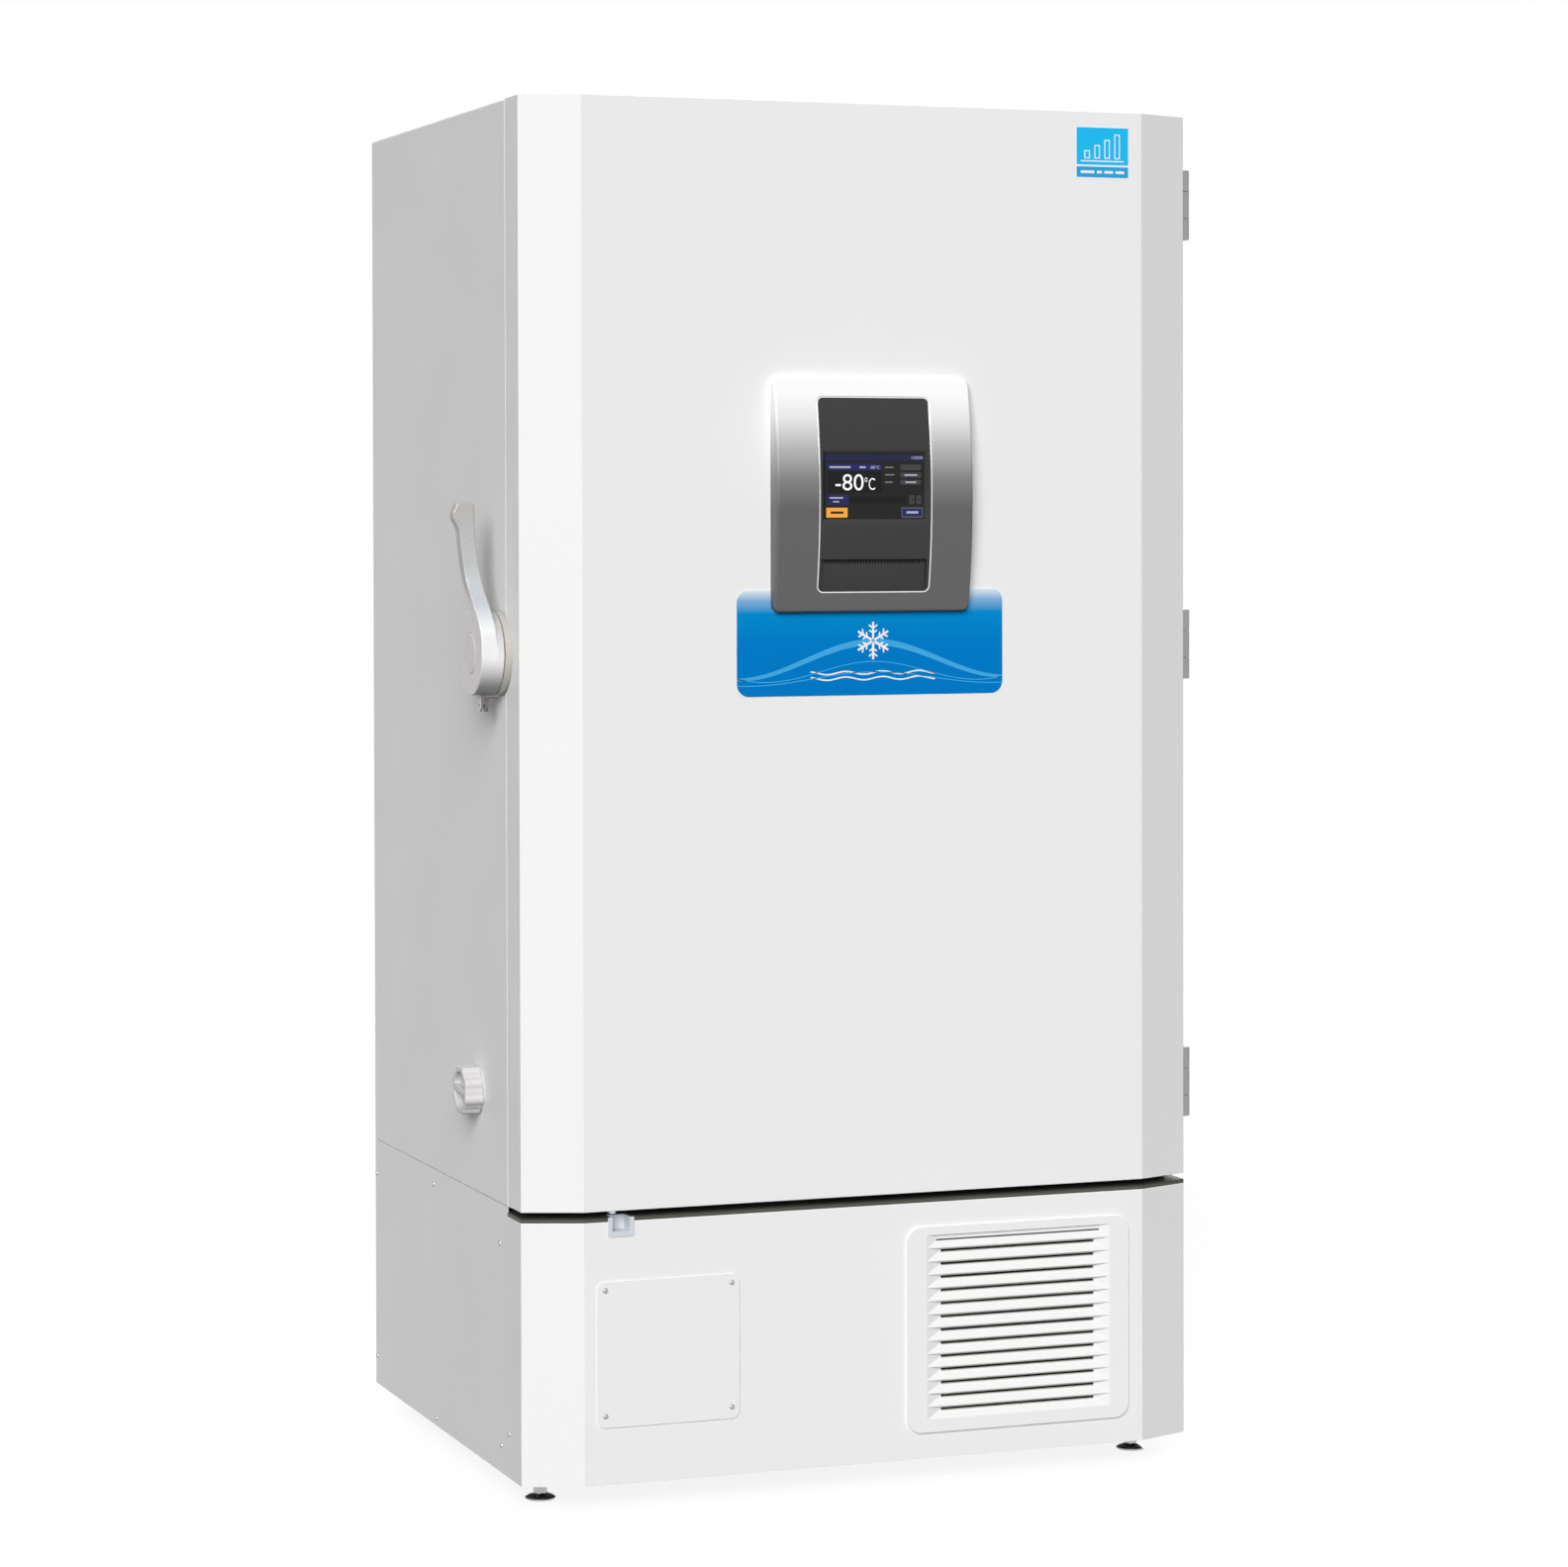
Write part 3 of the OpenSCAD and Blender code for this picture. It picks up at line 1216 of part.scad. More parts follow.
module bevel_outline(y_face, mid, size, bevel) polygon([[y_face, mid - size / 2 - bevel],
    [screen_face + eps, mid - size / 2], [screen_face + eps, mid + size / 2],
    [y_face, mid + size / 2 + bevel]]);

// Dark centre panel: sunk screen, and a sloping ledge under a row of fine slits
module control_panel() color(dark_plastic) in_frame() difference() {
    low = panel_z - centre_h / 2 + trim_t;
    deep = -bezel_edge - bezel_arch + ledge_sink;
    side = centre_w / 2 - trim_t - 4;
    arched(-centre_w / 2 + trim_t, centre_w / 2 - trim_t, low, panel_z + centre_h / 2 - trim_t, 8,
        centre_sink, 0);
    screen_bevel();
    screen_frame_cut(0, -60, screen_face + screen_t);
    along_x(-side, side) polygon([[-60, low + ledge_h + 10], [deep, low + ledge_h + 8],
        [deep, low + ledge_h], [-bezel_edge - 1, low + 4], [-60, low + 4]]);
    for (k = [-vent_slits:vent_slits]) block(k * vent_pitch - 0.9, k * vent_pitch + 0.9, deep - 1,
        deep + 5, low + ledge_h + 2, low + ledge_h + 7);
}

module touch_screen() color("#141b2e") in_frame() screen_frame_cut(-loose_fit, screen_face,
    screen_face + screen_t);

// Plate under the control panel, cut to the bezel's outline
module info_plate() color("#007dc8") in_frame() along_y(-info_t, 0) difference() {
    translate([3, 0]) rounded(-info_w / 2, info_w / 2, info_z0, info_z0 + info_h, 18);
    rounded(-bezel_w / 2 - loose_fit, bezel_w / 2 + loose_fit, panel_z - bezel_h / 2 - loose_fit,
        panel_z + bezel_h / 2, 10);
}

// Key cylinder in the door's lower edge, with a slot for the key and a turning tongue
module key_lock() color(steel_tone) in_frame() translate([key_x - 7.5, 20, 0]) difference() {
    union() {
        translate([0, 0, door_z0]) cylinder(r = 9, h = 40);
        translate([0, 0, door_z0 - 6]) cylinder(r = 7.5, h = 7);
    }
    block(-1, 1, -4.5, 4.5, door_z0 - 7, door_z0 + 14);
}

// Inner doors

module inner_plan(z0, z1, y0, y1) block(-inner_half, inner_half, y0, y1, z0, z1);

// Insulated door with a sunk front field, a step at the back and a bored boss at each pivot
module inner_door(z0, z1) color(light_plastic) in_frame() difference() {
    union() {
        difference() {
            inner_plan(z0, z1, inner_y0, inner_y1);
            block(-inner_half + 34, inner_half - 34, inner_y0 - 1, inner_y0 + 3, z0 + 34, z1 - 34);
            for (z = [z0 - 1, z1 - inner_pin_len - 2])
                block(inner_pivot_x - 9, inner_half + 1, inner_y0 - 1, inner_y0 + 9, z,
                    z + inner_pin_len + 3);
        }
        for (z = [z0, z1 - inner_pin_len - 2]) translate([inner_pivot_x, inner_y0, z]) {
            cylinder(r = inner_boss_r, h = inner_pin_len + 2);
            block(-9, 0, 0, 9.5, 0, inner_pin_len + 2);
            block(-9, inner_half - inner_pivot_x, 5, 9.5, 0, inner_pin_len + 2);
        }
    }
    for (z = [z0 - 1, z1 - inner_pin_len - 1]) translate([inner_pivot_x, inner_y0, z])
        cylinder(r = inner_pin_r + run_fit, h = inner_pin_len + 2);
    inner_stud_bore((z0 + z1) / 2, -1);
}

module inner_stud_bore(z, extra) translate([inner_handle_x, inner_y0 - extra, z]) rotate([-90, 0, 0])
    cylinder(r = 6, h = 20 + extra);

module inner_door_upper() inner_door(upper_z0, upper_z1);
module inner_door_lower() inner_door(lower_z0, lower_z1);

// Seals against the ledge, the liner's edge and the centre bar
module inner_gasket(z0, z1) color("#a9abac") in_frame() difference() {
    x = inner_pivot_x;
    block(-x, x, inner_y1, inner_seat - loose_fit, z0, z1);
    block(-x + inner_gasket_w, x - inner_gasket_w, inner_y1 - 1, inner_seat + 1, z0 + inner_gasket_w,
        z1 - inner_gasket_w);
}

module inner_gasket_upper() inner_gasket(upper_z0, upper_z1 - 4);
module inner_gasket_lower() inner_gasket(lower_z0 + 4, lower_z1);

// Turn handle of an inner door: a stud in the door, a disc and a tapered grip
module inner_latch(z) color(light_plastic) in_frame() translate([inner_handle_x, 0, z]) {
    translate([0, inner_y0 - 8, 0]) rotate([-90, 0, 0]) cylinder(r = 6 - run_fit, h = 26);
    translate([0, inner_y0 - 8, 0]) rotate([-90, 0, 0]) cylinder(r = 16, h = 8 - loose_fit);
    along_y(inner_y0 - 22, inner_y0 - 7) polygon([[-8, -14], [8, -14], [6, 70], [2, 76], [-2, 76], [-6, 70]]);
}

module inner_latch_upper() inner_latch((upper_z0 + upper_z1) / 2);
module inner_latch_lower() inner_latch((lower_z0 + lower_z1) / 2);

cabinet_shell();
cabinet_back();
insulation_foam();
vacuum_panels();
evaporator_coil();
inner_liner();
breaker_frame();
shelf_tracks();
shelves();
cabinet_hinges();
inner_hinge_pins();
strike_pin();
vent_sleeve();
base_chassis();
base_side_panels();
base_front_panel();
base_rear_panel();
blank_plate();
panel_screws();
key_pocket();
air_filter();
condenser_coil();
fan_shroud();
fan_motor();
compressors();
refrigerant_pipes();
heat_exchanger();
control_box();
power_inlet();
rear_spacers();
caster_brackets();
door_skin();
door_insulation();
door_liner();
door_gasket();
door_hinges();
latch_base();
control_bezel();
control_panel();
panel_trim();
touch_screen();
info_plate();
key_lock();
latch_lever();
latch_cap();
inner_door_upper();
inner_door_lower();
inner_gasket_upper();
inner_gasket_lower();
inner_latch_upper();
inner_latch_lower();
condenser_fan();
vent_cap();
intake_grille();
wheel_front_left();
wheel_front_right();
wheel_rear_left();
wheel_rear_right();
foot_left();
foot_right();
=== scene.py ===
"""Looks of an upright ultra low temperature freezer. Metres, front towards -Y, +Z up."""
import math
import bmesh
import bpy
from mathutils import Matrix, Vector


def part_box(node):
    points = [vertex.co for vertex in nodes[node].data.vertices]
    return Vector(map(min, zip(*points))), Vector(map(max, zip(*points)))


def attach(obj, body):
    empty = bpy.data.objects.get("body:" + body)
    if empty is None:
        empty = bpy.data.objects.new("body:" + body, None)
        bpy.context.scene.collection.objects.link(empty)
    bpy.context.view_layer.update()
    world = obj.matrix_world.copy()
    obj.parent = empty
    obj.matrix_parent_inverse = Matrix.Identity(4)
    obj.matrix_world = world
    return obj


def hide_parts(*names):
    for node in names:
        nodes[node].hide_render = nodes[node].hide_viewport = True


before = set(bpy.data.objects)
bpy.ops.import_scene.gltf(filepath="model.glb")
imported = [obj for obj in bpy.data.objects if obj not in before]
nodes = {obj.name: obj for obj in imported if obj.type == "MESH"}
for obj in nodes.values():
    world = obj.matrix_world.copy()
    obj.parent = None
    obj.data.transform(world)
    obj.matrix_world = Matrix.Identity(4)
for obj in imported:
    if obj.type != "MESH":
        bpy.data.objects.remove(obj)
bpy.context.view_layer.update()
mm = 0.001

# Camera, as fitted to the photograph
camera_place = Vector((-2.2318, -6.1390, 1.3909))
camera_yaw = math.radians(20.40)      # from +Y towards +X
camera_pitch = math.radians(-0.95)
camera_roll = math.radians(-0.12)
focal_px = 4315
axis_row_px = 600.9                   # picture row that the optical axis meets
picture_w, picture_h = 1584, 1583
sensor_mm = 36

# Light
key_azimuth = math.radians(28)        # from the front towards the left
key_height = math.radians(26)
key_strength = 3.47
key_spread = math.radians(40)
back_azimuth = math.radians(218)      # a second lamp behind the freezer, for its back and right side
back_height = math.radians(30)
back_strength = 1.45
back_spread = math.radians(60)
room_level = 0.14
floor_tone = 0.18
floor_glow = 0.88


def make_camera():
    look = Vector((math.sin(camera_yaw) * math.cos(camera_pitch),
                   math.cos(camera_yaw) * math.cos(camera_pitch), math.sin(camera_pitch)))
    right = Vector((math.cos(camera_yaw), -math.sin(camera_yaw), 0))
    up = right.cross(look)
    rolled_right = math.cos(camera_roll) * right + math.sin(camera_roll) * up
    rolled_up = math.cos(camera_roll) * up - math.sin(camera_roll) * right
    data = bpy.data.cameras.new("camera")
    data.sensor_width = sensor_mm
    data.lens = focal_px / picture_w * sensor_mm
    data.shift_y = (axis_row_px - picture_h / 2) / picture_w
    data.clip_end = 100
    camera = bpy.data.objects.new("camera", data)
    turn = Matrix((rolled_right, rolled_up, -look)).transposed()
    camera.matrix_world = Matrix.Translation(camera_place) @ turn.to_4x4()
    bpy.context.scene.collection.objects.link(camera)
    bpy.context.scene.camera = camera


make_camera()


# Node helpers for materials

class Nodes:
    """A material's node tree, with the principled shader and object coordinates in place."""

    def __init__(self, name, rough, metallic=0.0, **sockets):
        self.material = bpy.data.materials.new(name)
        self.material.use_nodes = True
        self.tree = self.material.node_tree
        self.shader = self.tree.nodes["Principled BSDF"]
        self.shader.inputs["Roughness"].default_value = rough
        self.shader.inputs["Metallic"].default_value = metallic
        for socket, value in sockets.items():
            self.shader.inputs[socket.replace("_", " ")].default_value = value
        self.coords = self.add("ShaderNodeTexCoord").outputs["Object"]

    def add(self, kind, **settings):
        node = self.tree.nodes.new(kind)
        for name, value in settings.items():
            setattr(node, name, value)
        return node

    def link(self, out, into):
        self.tree.links.new(out, into)

    def stretched(self, scale):
        mapping = self.add("ShaderNodeMapping")
        mapping.inputs["Scale"].default_value = scale
        self.link(self.coords, mapping.inputs["Vector"])
        return mapping.outputs["Vector"]

    def noise(self, scale, detail=3.0, coords=None):
        node = self.add("ShaderNodeTexNoise")
        node.inputs["Scale"].default_value = scale
        node.inputs["Detail"].default_value = detail
        self.link(coords or self.coords, node.inputs["Vector"])
        return node.outputs["Fac"]

    def spread(self, value, low, high, from_low=0.3, from_high=0.7):
        node = self.add("ShaderNodeMapRange")
        for name, number in (("From Min", from_low), ("From Max", from_high), ("To Min", low),
                             ("To Max", high)):
            node.inputs[name].default_value = number
        self.link(value, node.inputs["Value"])
        return node.outputs["Result"]

    def ramp(self, value, stops, mode="LINEAR"):
        node = self.add("ShaderNodeValToRGB")
        node.color_ramp.interpolation = mode
        elements = node.color_ramp.elements
        while len(elements) < len(stops):
            elements.new(0.5)
        for element, (place, colour) in zip(elements, stops):
            element.position = place
            element.color = (*colour, 1)
        self.link(value, node.inputs["Fac"])
        return node.outputs["Color"]

    def mixed(self, share, first, second):
        """Goes from the first colour to the second; the second may be a plain colour."""
        node = self.add("ShaderNodeMix", data_type="RGBA")
        self.link(share, node.inputs["Factor"])
        self.link(first, node.inputs["A"])
        if isinstance(second, tuple):
            node.inputs["B"].default_value = (*second, 1)
        else:
            self.link(second, node.inputs["B"])
        return node.outputs["Result"]

    def axis(self, name):
        node = self.add("ShaderNodeSeparateXYZ")
        self.link(self.coords, node.inputs[0])
        return node.outputs[name]

    def bump(self, height, depth, strength):
        node = self.add("ShaderNodeBump")
        node.inputs["Strength"].default_value = strength
        node.inputs["Distance"].default_value = depth
        self.link(height, node.inputs["Height"])
        self.link(node.outputs["Normal"], self.shader.inputs["Normal"])

    def base(self, colour):
        self.link(colour, self.shader.inputs["Base Color"])

    def tone(self, colour, scale, spread):
        """Colour that drifts a little over the surface."""
        low = tuple(c * (1 - spread) for c in colour)
        high = tuple(min(1, c * (1 + spread)) for c in colour)
        self.base(self.ramp(self.noise(scale), [(0.3, low), (0.7, high)]))

    def height(self, low, high):
        """0 at the low corner's height and 1 at the high corner's."""
        return self.spread(self.axis("Z"), 0, 1, low.z, high.z)

    def rough_drift(self, low, high, scale):
        self.link(self.spread(self.noise(scale), low, high), self.shader.inputs["Roughness"])


def grey(level):
    return (level, level, level)


# Materials

def powder_coat(name, colour, rough=0.42):
    made = Nodes(name, rough, Specular_IOR_Level=0.12)
    made.tone(colour, 2.5, 0.006)
    made.rough_drift(rough - 0.05, rough + 0.05, 6)
    made.bump(made.noise(750, 2), 0.00005, 0.3)
    return made.material


def moulded(name, colour, rough=0.4, grain=1400, depth=0.00004):
    made = Nodes(name, rough, Specular_IOR_Level=0.35)
    made.tone(colour, 12, 0.02)
    made.rough_drift(rough - 0.05, rough + 0.06, 40)
    made.bump(made.noise(grain, 2), depth, 0.5)
    return made.material


def brushed(name, colour, rough, way=(1, 1, 60), scale=35, spread=0.05):
    """Bare metal, its noise stretched along the brushing."""
    made = Nodes(name, rough, 1.0)
    lines = made.noise(scale, 4, made.stretched(way))
    low, high = (tuple(c * k for c in colour) for k in (1 - spread, 1 + spread))
    made.base(made.ramp(lines, [(0.3, low), (0.7, high)]))
    made.link(made.spread(lines, rough - 0.07, rough + 0.08), made.shader.inputs["Roughness"])
    made.bump(lines, 0.00002, 0.4)
    return made.material


def cap_paint():
    """Silver paint on the latch's cap: fine flakes and a soft ripple."""
    made = Nodes("cap_silver", 0.36, 0.1, Specular_IOR_Level=0.25)
    made.tone((0.66, 0.635, 0.64), 18, 0.025)
    made.rough_drift(0.31, 0.44, 60)
    made.bump(made.noise(520, 3), 0.00004, 0.3)
    return made.material


def latch_base_paint():
    """Silver paint on the latch's round base, dark bare metal on the bracket of the padlock eyes."""
    made = Nodes("cast_silver", 0.3, 0.12, Specular_IOR_Level=0.25)
    bracket_height, blend = 21 * mm, 0.5 * mm
    bracket_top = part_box("latch_base")[0].z + bracket_height
    ring = made.ramp(made.noise(18), [(0.3, (0.488, 0.468, 0.44)), (0.7, (0.512, 0.492, 0.46))])
    below = made.spread(made.axis("Z"), 1, 0, bracket_top - blend, bracket_top + blend)
    made.base(made.mixed(below, ring, (0.17, 0.155, 0.15)))
    made.rough_drift(0.25, 0.38, 60)
    made.bump(made.noise(520, 3), 0.00004, 0.3)
    return made.material


def base_front_paint():
    """Powder coat with painted shade along the top of the base, under the door: a dark strip that stands
    in for the shaded gap, with a painted highlight as its pale lower edge.
    """
    made = Nodes("base_white", 0.42, Specular_IOR_Level=0.12)
    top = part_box("base_front_panel")[1].z
    # strip is the height of the painted gap shade, edge that of the painted highlight under it
    strip, edge, blend = 6 * mm, 1.3 * mm, 0.1 * mm
    start = top - strip - edge
    coat = made.ramp(made.noise(2.5), [(0.3, grey(0.796)), (0.7, (0.805, 0.805, 0.8))])
    # Painted highlight at the bottom of the band, then painted shade, darkest near the top
    gap_shade_bands = made.ramp(made.spread(made.axis("Z"), 0, 1, start, top),
                      [(0.0, grey(0.93)), (edge / (strip + edge), (0.08, 0.085, 0.07)),
                       (0.8, (0.05, 0.053, 0.044))], "CONSTANT")
    in_gap_shade = made.spread(made.axis("Z"), 0, 1, start, start + blend)
    made.base(made.mixed(in_gap_shade, coat, gap_shade_bands))
    made.rough_drift(0.37, 0.47, 6)
    made.bump(made.noise(750, 2), 0.00005, 0.3)
    return made.material


def filter_medium_paint():
    """Pale green filter medium, dark where the lip of each louvre keeps it in shade."""
    made = Nodes("filter_medium", 0.85, Specular_IOR_Level=0.1)
    low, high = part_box("intake_grille")
    louvre_pitch = 19.2 * mm
    whole_turns = 40                  # keeps the count of louvres above zero
    turns = made.add("ShaderNodeMath", operation="MULTIPLY_ADD")
    turns.inputs[1].default_value = 1 / louvre_pitch
    turns.inputs[2].default_value = whole_turns - (low.z + high.z) / 2 / louvre_pitch
    made.link(made.axis("Z"), turns.inputs[0])
    place = made.add("ShaderNodeMath", operation="FRACT")
    made.link(turns.outputs[0], place.inputs[0])
    dark, pale = (0.02, 0.02, 0.017), (0.62, 0.68, 0.57)
    made.base(made.ramp(place.outputs[0], [(0.0, dark), (0.3, pale), (0.8, dark)], "CONSTANT"))
    made.rough_drift(0.8, 0.9, 40)
    made.bump(made.noise(1100, 2), 0.0003, 0.5)
    return made.material


def lever_paint():
    """Silver paint of the lever with painted light: a painted highlight round its bend, painted shade at
    its tip, flanks and lower rim.
    """
    made = Nodes("lever_silver", 0.3, 0.12, Specular_IOR_Level=0.25)
    height = made.height(*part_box("latch_lever"))
    # Painted light on the front by height: painted shade low on the skirt, a painted highlight round the
    # bend, duller painted shade towards the tip
    front = made.ramp(height, [(0.04, (0.24, 0.235, 0.225)), (0.12, grey(0.36)), (0.19, grey(0.64)),
                               (0.25, grey(0.82)), (0.4, (0.78, 0.79, 0.8)),
                               (0.52, (0.52, 0.545, 0.57)), (0.72, (0.48, 0.49, 0.49)),
                               (1.0, (0.44, 0.425, 0.41))])
    # Painted shade on the flanks that face -X, above the hub's face
    flank_shade = made.ramp(height, [(0.5, (0.66, 0.635, 0.64)), (0.58, (0.44, 0.42, 0.41)),
                               (1.0, (0.4, 0.375, 0.36))])
    # Share of the painted flank shade, read from the object-space normal
    turn = made.add("ShaderNodeSeparateXYZ")
    made.link(made.add("ShaderNodeTexCoord").outputs["Normal"], turn.inputs[0])
    shaded_side_share = made.spread(turn.outputs["X"], 1, 0, -0.85, -0.45)
    # Painted shade on the skirt's shoulder beside the strap
    strap_width, blend = 24 * mm, 3 * mm
    strap_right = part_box("latch_cap")[0].x + strap_width
    shoulder_shade_share = made.add("ShaderNodeMath", operation="MULTIPLY")
    made.link(made.spread(made.axis("X"), 0, 1, strap_right, strap_right + blend), shoulder_shade_share.inputs[0])
    made.link(made.spread(height, 0, 1, 0.22, 0.4), shoulder_shade_share.inputs[1])
    rim = made.mixed(shoulder_shade_share.outputs[0], front, (0.5, 0.49, 0.47))
    made.base(made.mixed(shaded_side_share, rim, flank_shade))
    made.rough_drift(0.25, 0.38, 60)
    made.bump(made.noise(520, 3), 0.00002, 0.2)
    return made.material


def bezel_paint():
    """Silver paint with a painted reflection and painted shade: white at the top, fading to dark grey at
    the bottom.
    """
    made = Nodes("bezel_silver", 0.34, Specular_IOR_Level=0.25)
    made.base(made.ramp(made.height(*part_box("control_bezel")),
                        [(0.0, grey(0.12)), (0.44, grey(0.112)), (0.56, grey(0.2)),
                         (0.7, grey(0.44)), (0.83, grey(0.75)), (0.93, grey(0.88))]))
    made.rough_drift(0.3, 0.38, 30)
    made.bump(made.noise(900, 2), 0.00003, 0.25)
    return made.material


def panel_plastic():
    """Dark satin plastic whose tone wavers a little from bottom to top."""
    made = Nodes("panel_dark", 0.38, Specular_IOR_Level=0.15)
    made.base(made.ramp(made.height(*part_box("control_panel")),
                        [(0.0, grey(0.037)), (0.35, grey(0.042)), (0.6, grey(0.036)),
                         (1.0, grey(0.041))]))
    made.rough_drift(0.34, 0.44, 60)
    made.bump(made.noise(1500, 2), 0.00003, 0.5)
    return made.material


def plate_film():
    """Printed film: blue that fades to white along its top edge."""
    made = Nodes("plate_blue", 0.4, Specular_IOR_Level=0.05)
    made.base(made.ramp(made.height(*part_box("info_plate")),
                        [(0.0, (0.0, 0.175, 0.52)), (0.5, (0.0, 0.185, 0.53)),
                         (0.78, (0.0, 0.24, 0.57)), (0.9, (0.21, 0.41, 0.65)),
                         (1.0, (0.72, 0.78, 0.84))]))
    made.rough_drift(0.36, 0.44, 20)
    made.bump(made.noise(300, 2), 0.00003, 0.2)
    return made.material


def print_ink(name, colour):
    """Ink of a printed film, with a faint grain."""
    made = Nodes(name, 0.4, Specular_IOR_Level=0.2)
    made.tone(colour, 60, 0.015)
    made.rough_drift(0.36, 0.44, 80)
    return made.material


def screen_material():
    made = Nodes("screen_glass", 0.09, Specular_IOR_Level=0.2)
    made.tone((0.006, 0.0065, 0.0075), 30, 0.1)
    made.rough_drift(0.07, 0.13, 25)
    return made.material


def lit(name, colour):
    """A lit field of the screen."""
    made = Nodes(name, 0.3, Specular_IOR_Level=0.1)
    shade = made.ramp(made.noise(60), [(0.3, tuple(c * 0.96 for c in colour)), (0.7, colour)])
    made.link(shade, made.shader.inputs["Emission Color"])
    made.shader.inputs["Emission Strength"].default_value = 1.0
    made.shader.inputs["Base Color"].default_value = (0.01, 0.01, 0.01, 1)
    return made.material


def foam_material():
    made = Nodes("foam", 0.85)
    made.tone((0.75, 0.64, 0.38), 25, 0.08)
    made.bump(made.noise(220, 5), 0.0008, 0.6)
    return made.material


white_paint = powder_coat("white_paint", (0.80, 0.80, 0.795))
grey_hinge = powder_coat("grey_paint", (0.47, 0.47, 0.46), 0.38)
steel = brushed("steel", (0.62, 0.63, 0.64), 0.28)
liner_steel = brushed("liner_steel", (0.66, 0.67, 0.68), 0.34, (60, 60, 1), 20)
chrome = brushed("chrome", (0.8, 0.8, 0.81), 0.13, (1, 1, 20), 30, 0.03)
copper = brushed("copper", (0.72, 0.35, 0.2), 0.3, (30, 30, 30), 8, 0.12)
fins = brushed("fins", (0.6, 0.57, 0.52), 0.42, (40, 1, 40), 20, 0.08)
foil = brushed("foil", (0.6, 0.61, 0.63), 0.35, (6, 6, 6), 20, 0.1)
light_plastic = moulded("light_plastic", (0.68, 0.675, 0.675))
cap_plastic = moulded("cap_plastic", (0.59, 0.575, 0.58))
pocket_plastic = moulded("pocket_plastic", (0.6, 0.63, 0.67), 0.35)
dark_plastic = moulded("dark_plastic", (0.03, 0.03, 0.033), 0.45)
seal_rubber = moulded("seal", (0.5, 0.5, 0.5), 0.6, 700, 0.0001)
black_paint = moulded("black_enamel", (0.012, 0.012, 0.014), 0.3, 400, 0.00005)
filter_weave = moulded("filter_mesh", (0.12, 0.13, 0.14), 0.7, 900, 0.0002)
filter_medium = filter_medium_paint()
wheel_plastic = moulded("wheel_rubber", (0.02, 0.02, 0.02), 0.5, 600, 0.0001)
screw_steel = brushed("screw_steel", (0.4, 0.4, 0.41), 0.36)
foot_steel = brushed("foot_steel", (0.45, 0.45, 0.46), 0.2, (1, 1, 20), 30, 0.06)
bezel_silver = bezel_paint()
ink_white = print_ink("ink_white", (0.82, 0.83, 0.84))
ink_pale = print_ink("ink_pale", (0.045, 0.36, 0.68))
badge_blue = print_ink("badge_blue", (0.01, 0.46, 0.81))
badge_deep = print_ink("badge_deep", (0.02, 0.33, 0.66))

node_materials = {
    white_paint: ["cabinet_shell", "cabinet_back", "base_chassis", "base_side_panels",
                  "base_rear_panel", "blank_plate", "rear_spacers", "door_skin", "intake_grille"],
    base_front_paint(): ["base_front_panel"],
    grey_hinge: ["cabinet_hinges", "door_hinges", "fan_shroud"],
    steel: ["shelf_tracks", "shelves", "inner_hinge_pins", "strike_pin", "control_box",
            "caster_brackets", "key_lock"],
    screw_steel: ["panel_screws"],
    liner_steel: ["inner_liner"],
    chrome: ["panel_trim"],
    foot_steel: ["foot_left", "foot_right"],
    copper: ["evaporator_coil", "refrigerant_pipes"],
    fins: ["condenser_coil"],
    foil: ["vacuum_panels"],
    foam_material(): ["insulation_foam", "door_insulation"],
    light_plastic: ["breaker_frame", "vent_sleeve", "door_liner", "inner_door_upper",
                    "inner_door_lower", "inner_latch_upper", "inner_latch_lower"],
    cap_plastic: ["vent_cap"],
    pocket_plastic: ["key_pocket"],
    dark_plastic: ["power_inlet", "heat_exchanger", "condenser_fan"],
    seal_rubber: ["door_gasket", "inner_gasket_upper", "inner_gasket_lower"],
    black_paint: ["fan_motor", "compressors"],
    filter_weave: ["air_filter"],
    wheel_plastic: ["wheel_front_left", "wheel_front_right", "wheel_rear_left", "wheel_rear_right"],
    latch_base_paint(): ["latch_base"],
    lever_paint(): ["latch_lever"],
    cap_paint(): ["latch_cap"],
    bezel_silver: ["control_bezel"],
    panel_plastic(): ["control_panel"],
    plate_film(): ["info_plate"],
    screen_material(): ["touch_screen"],
}
for material, names in node_materials.items():
    for name in names:
        nodes[name].data.materials.clear()
        nodes[name].data.materials.append(material)
unpainted = sorted(set(nodes) - {name for names in node_materials.values() for name in names})
assert not unpainted, unpainted


# Rounded edges on the CAD nodes

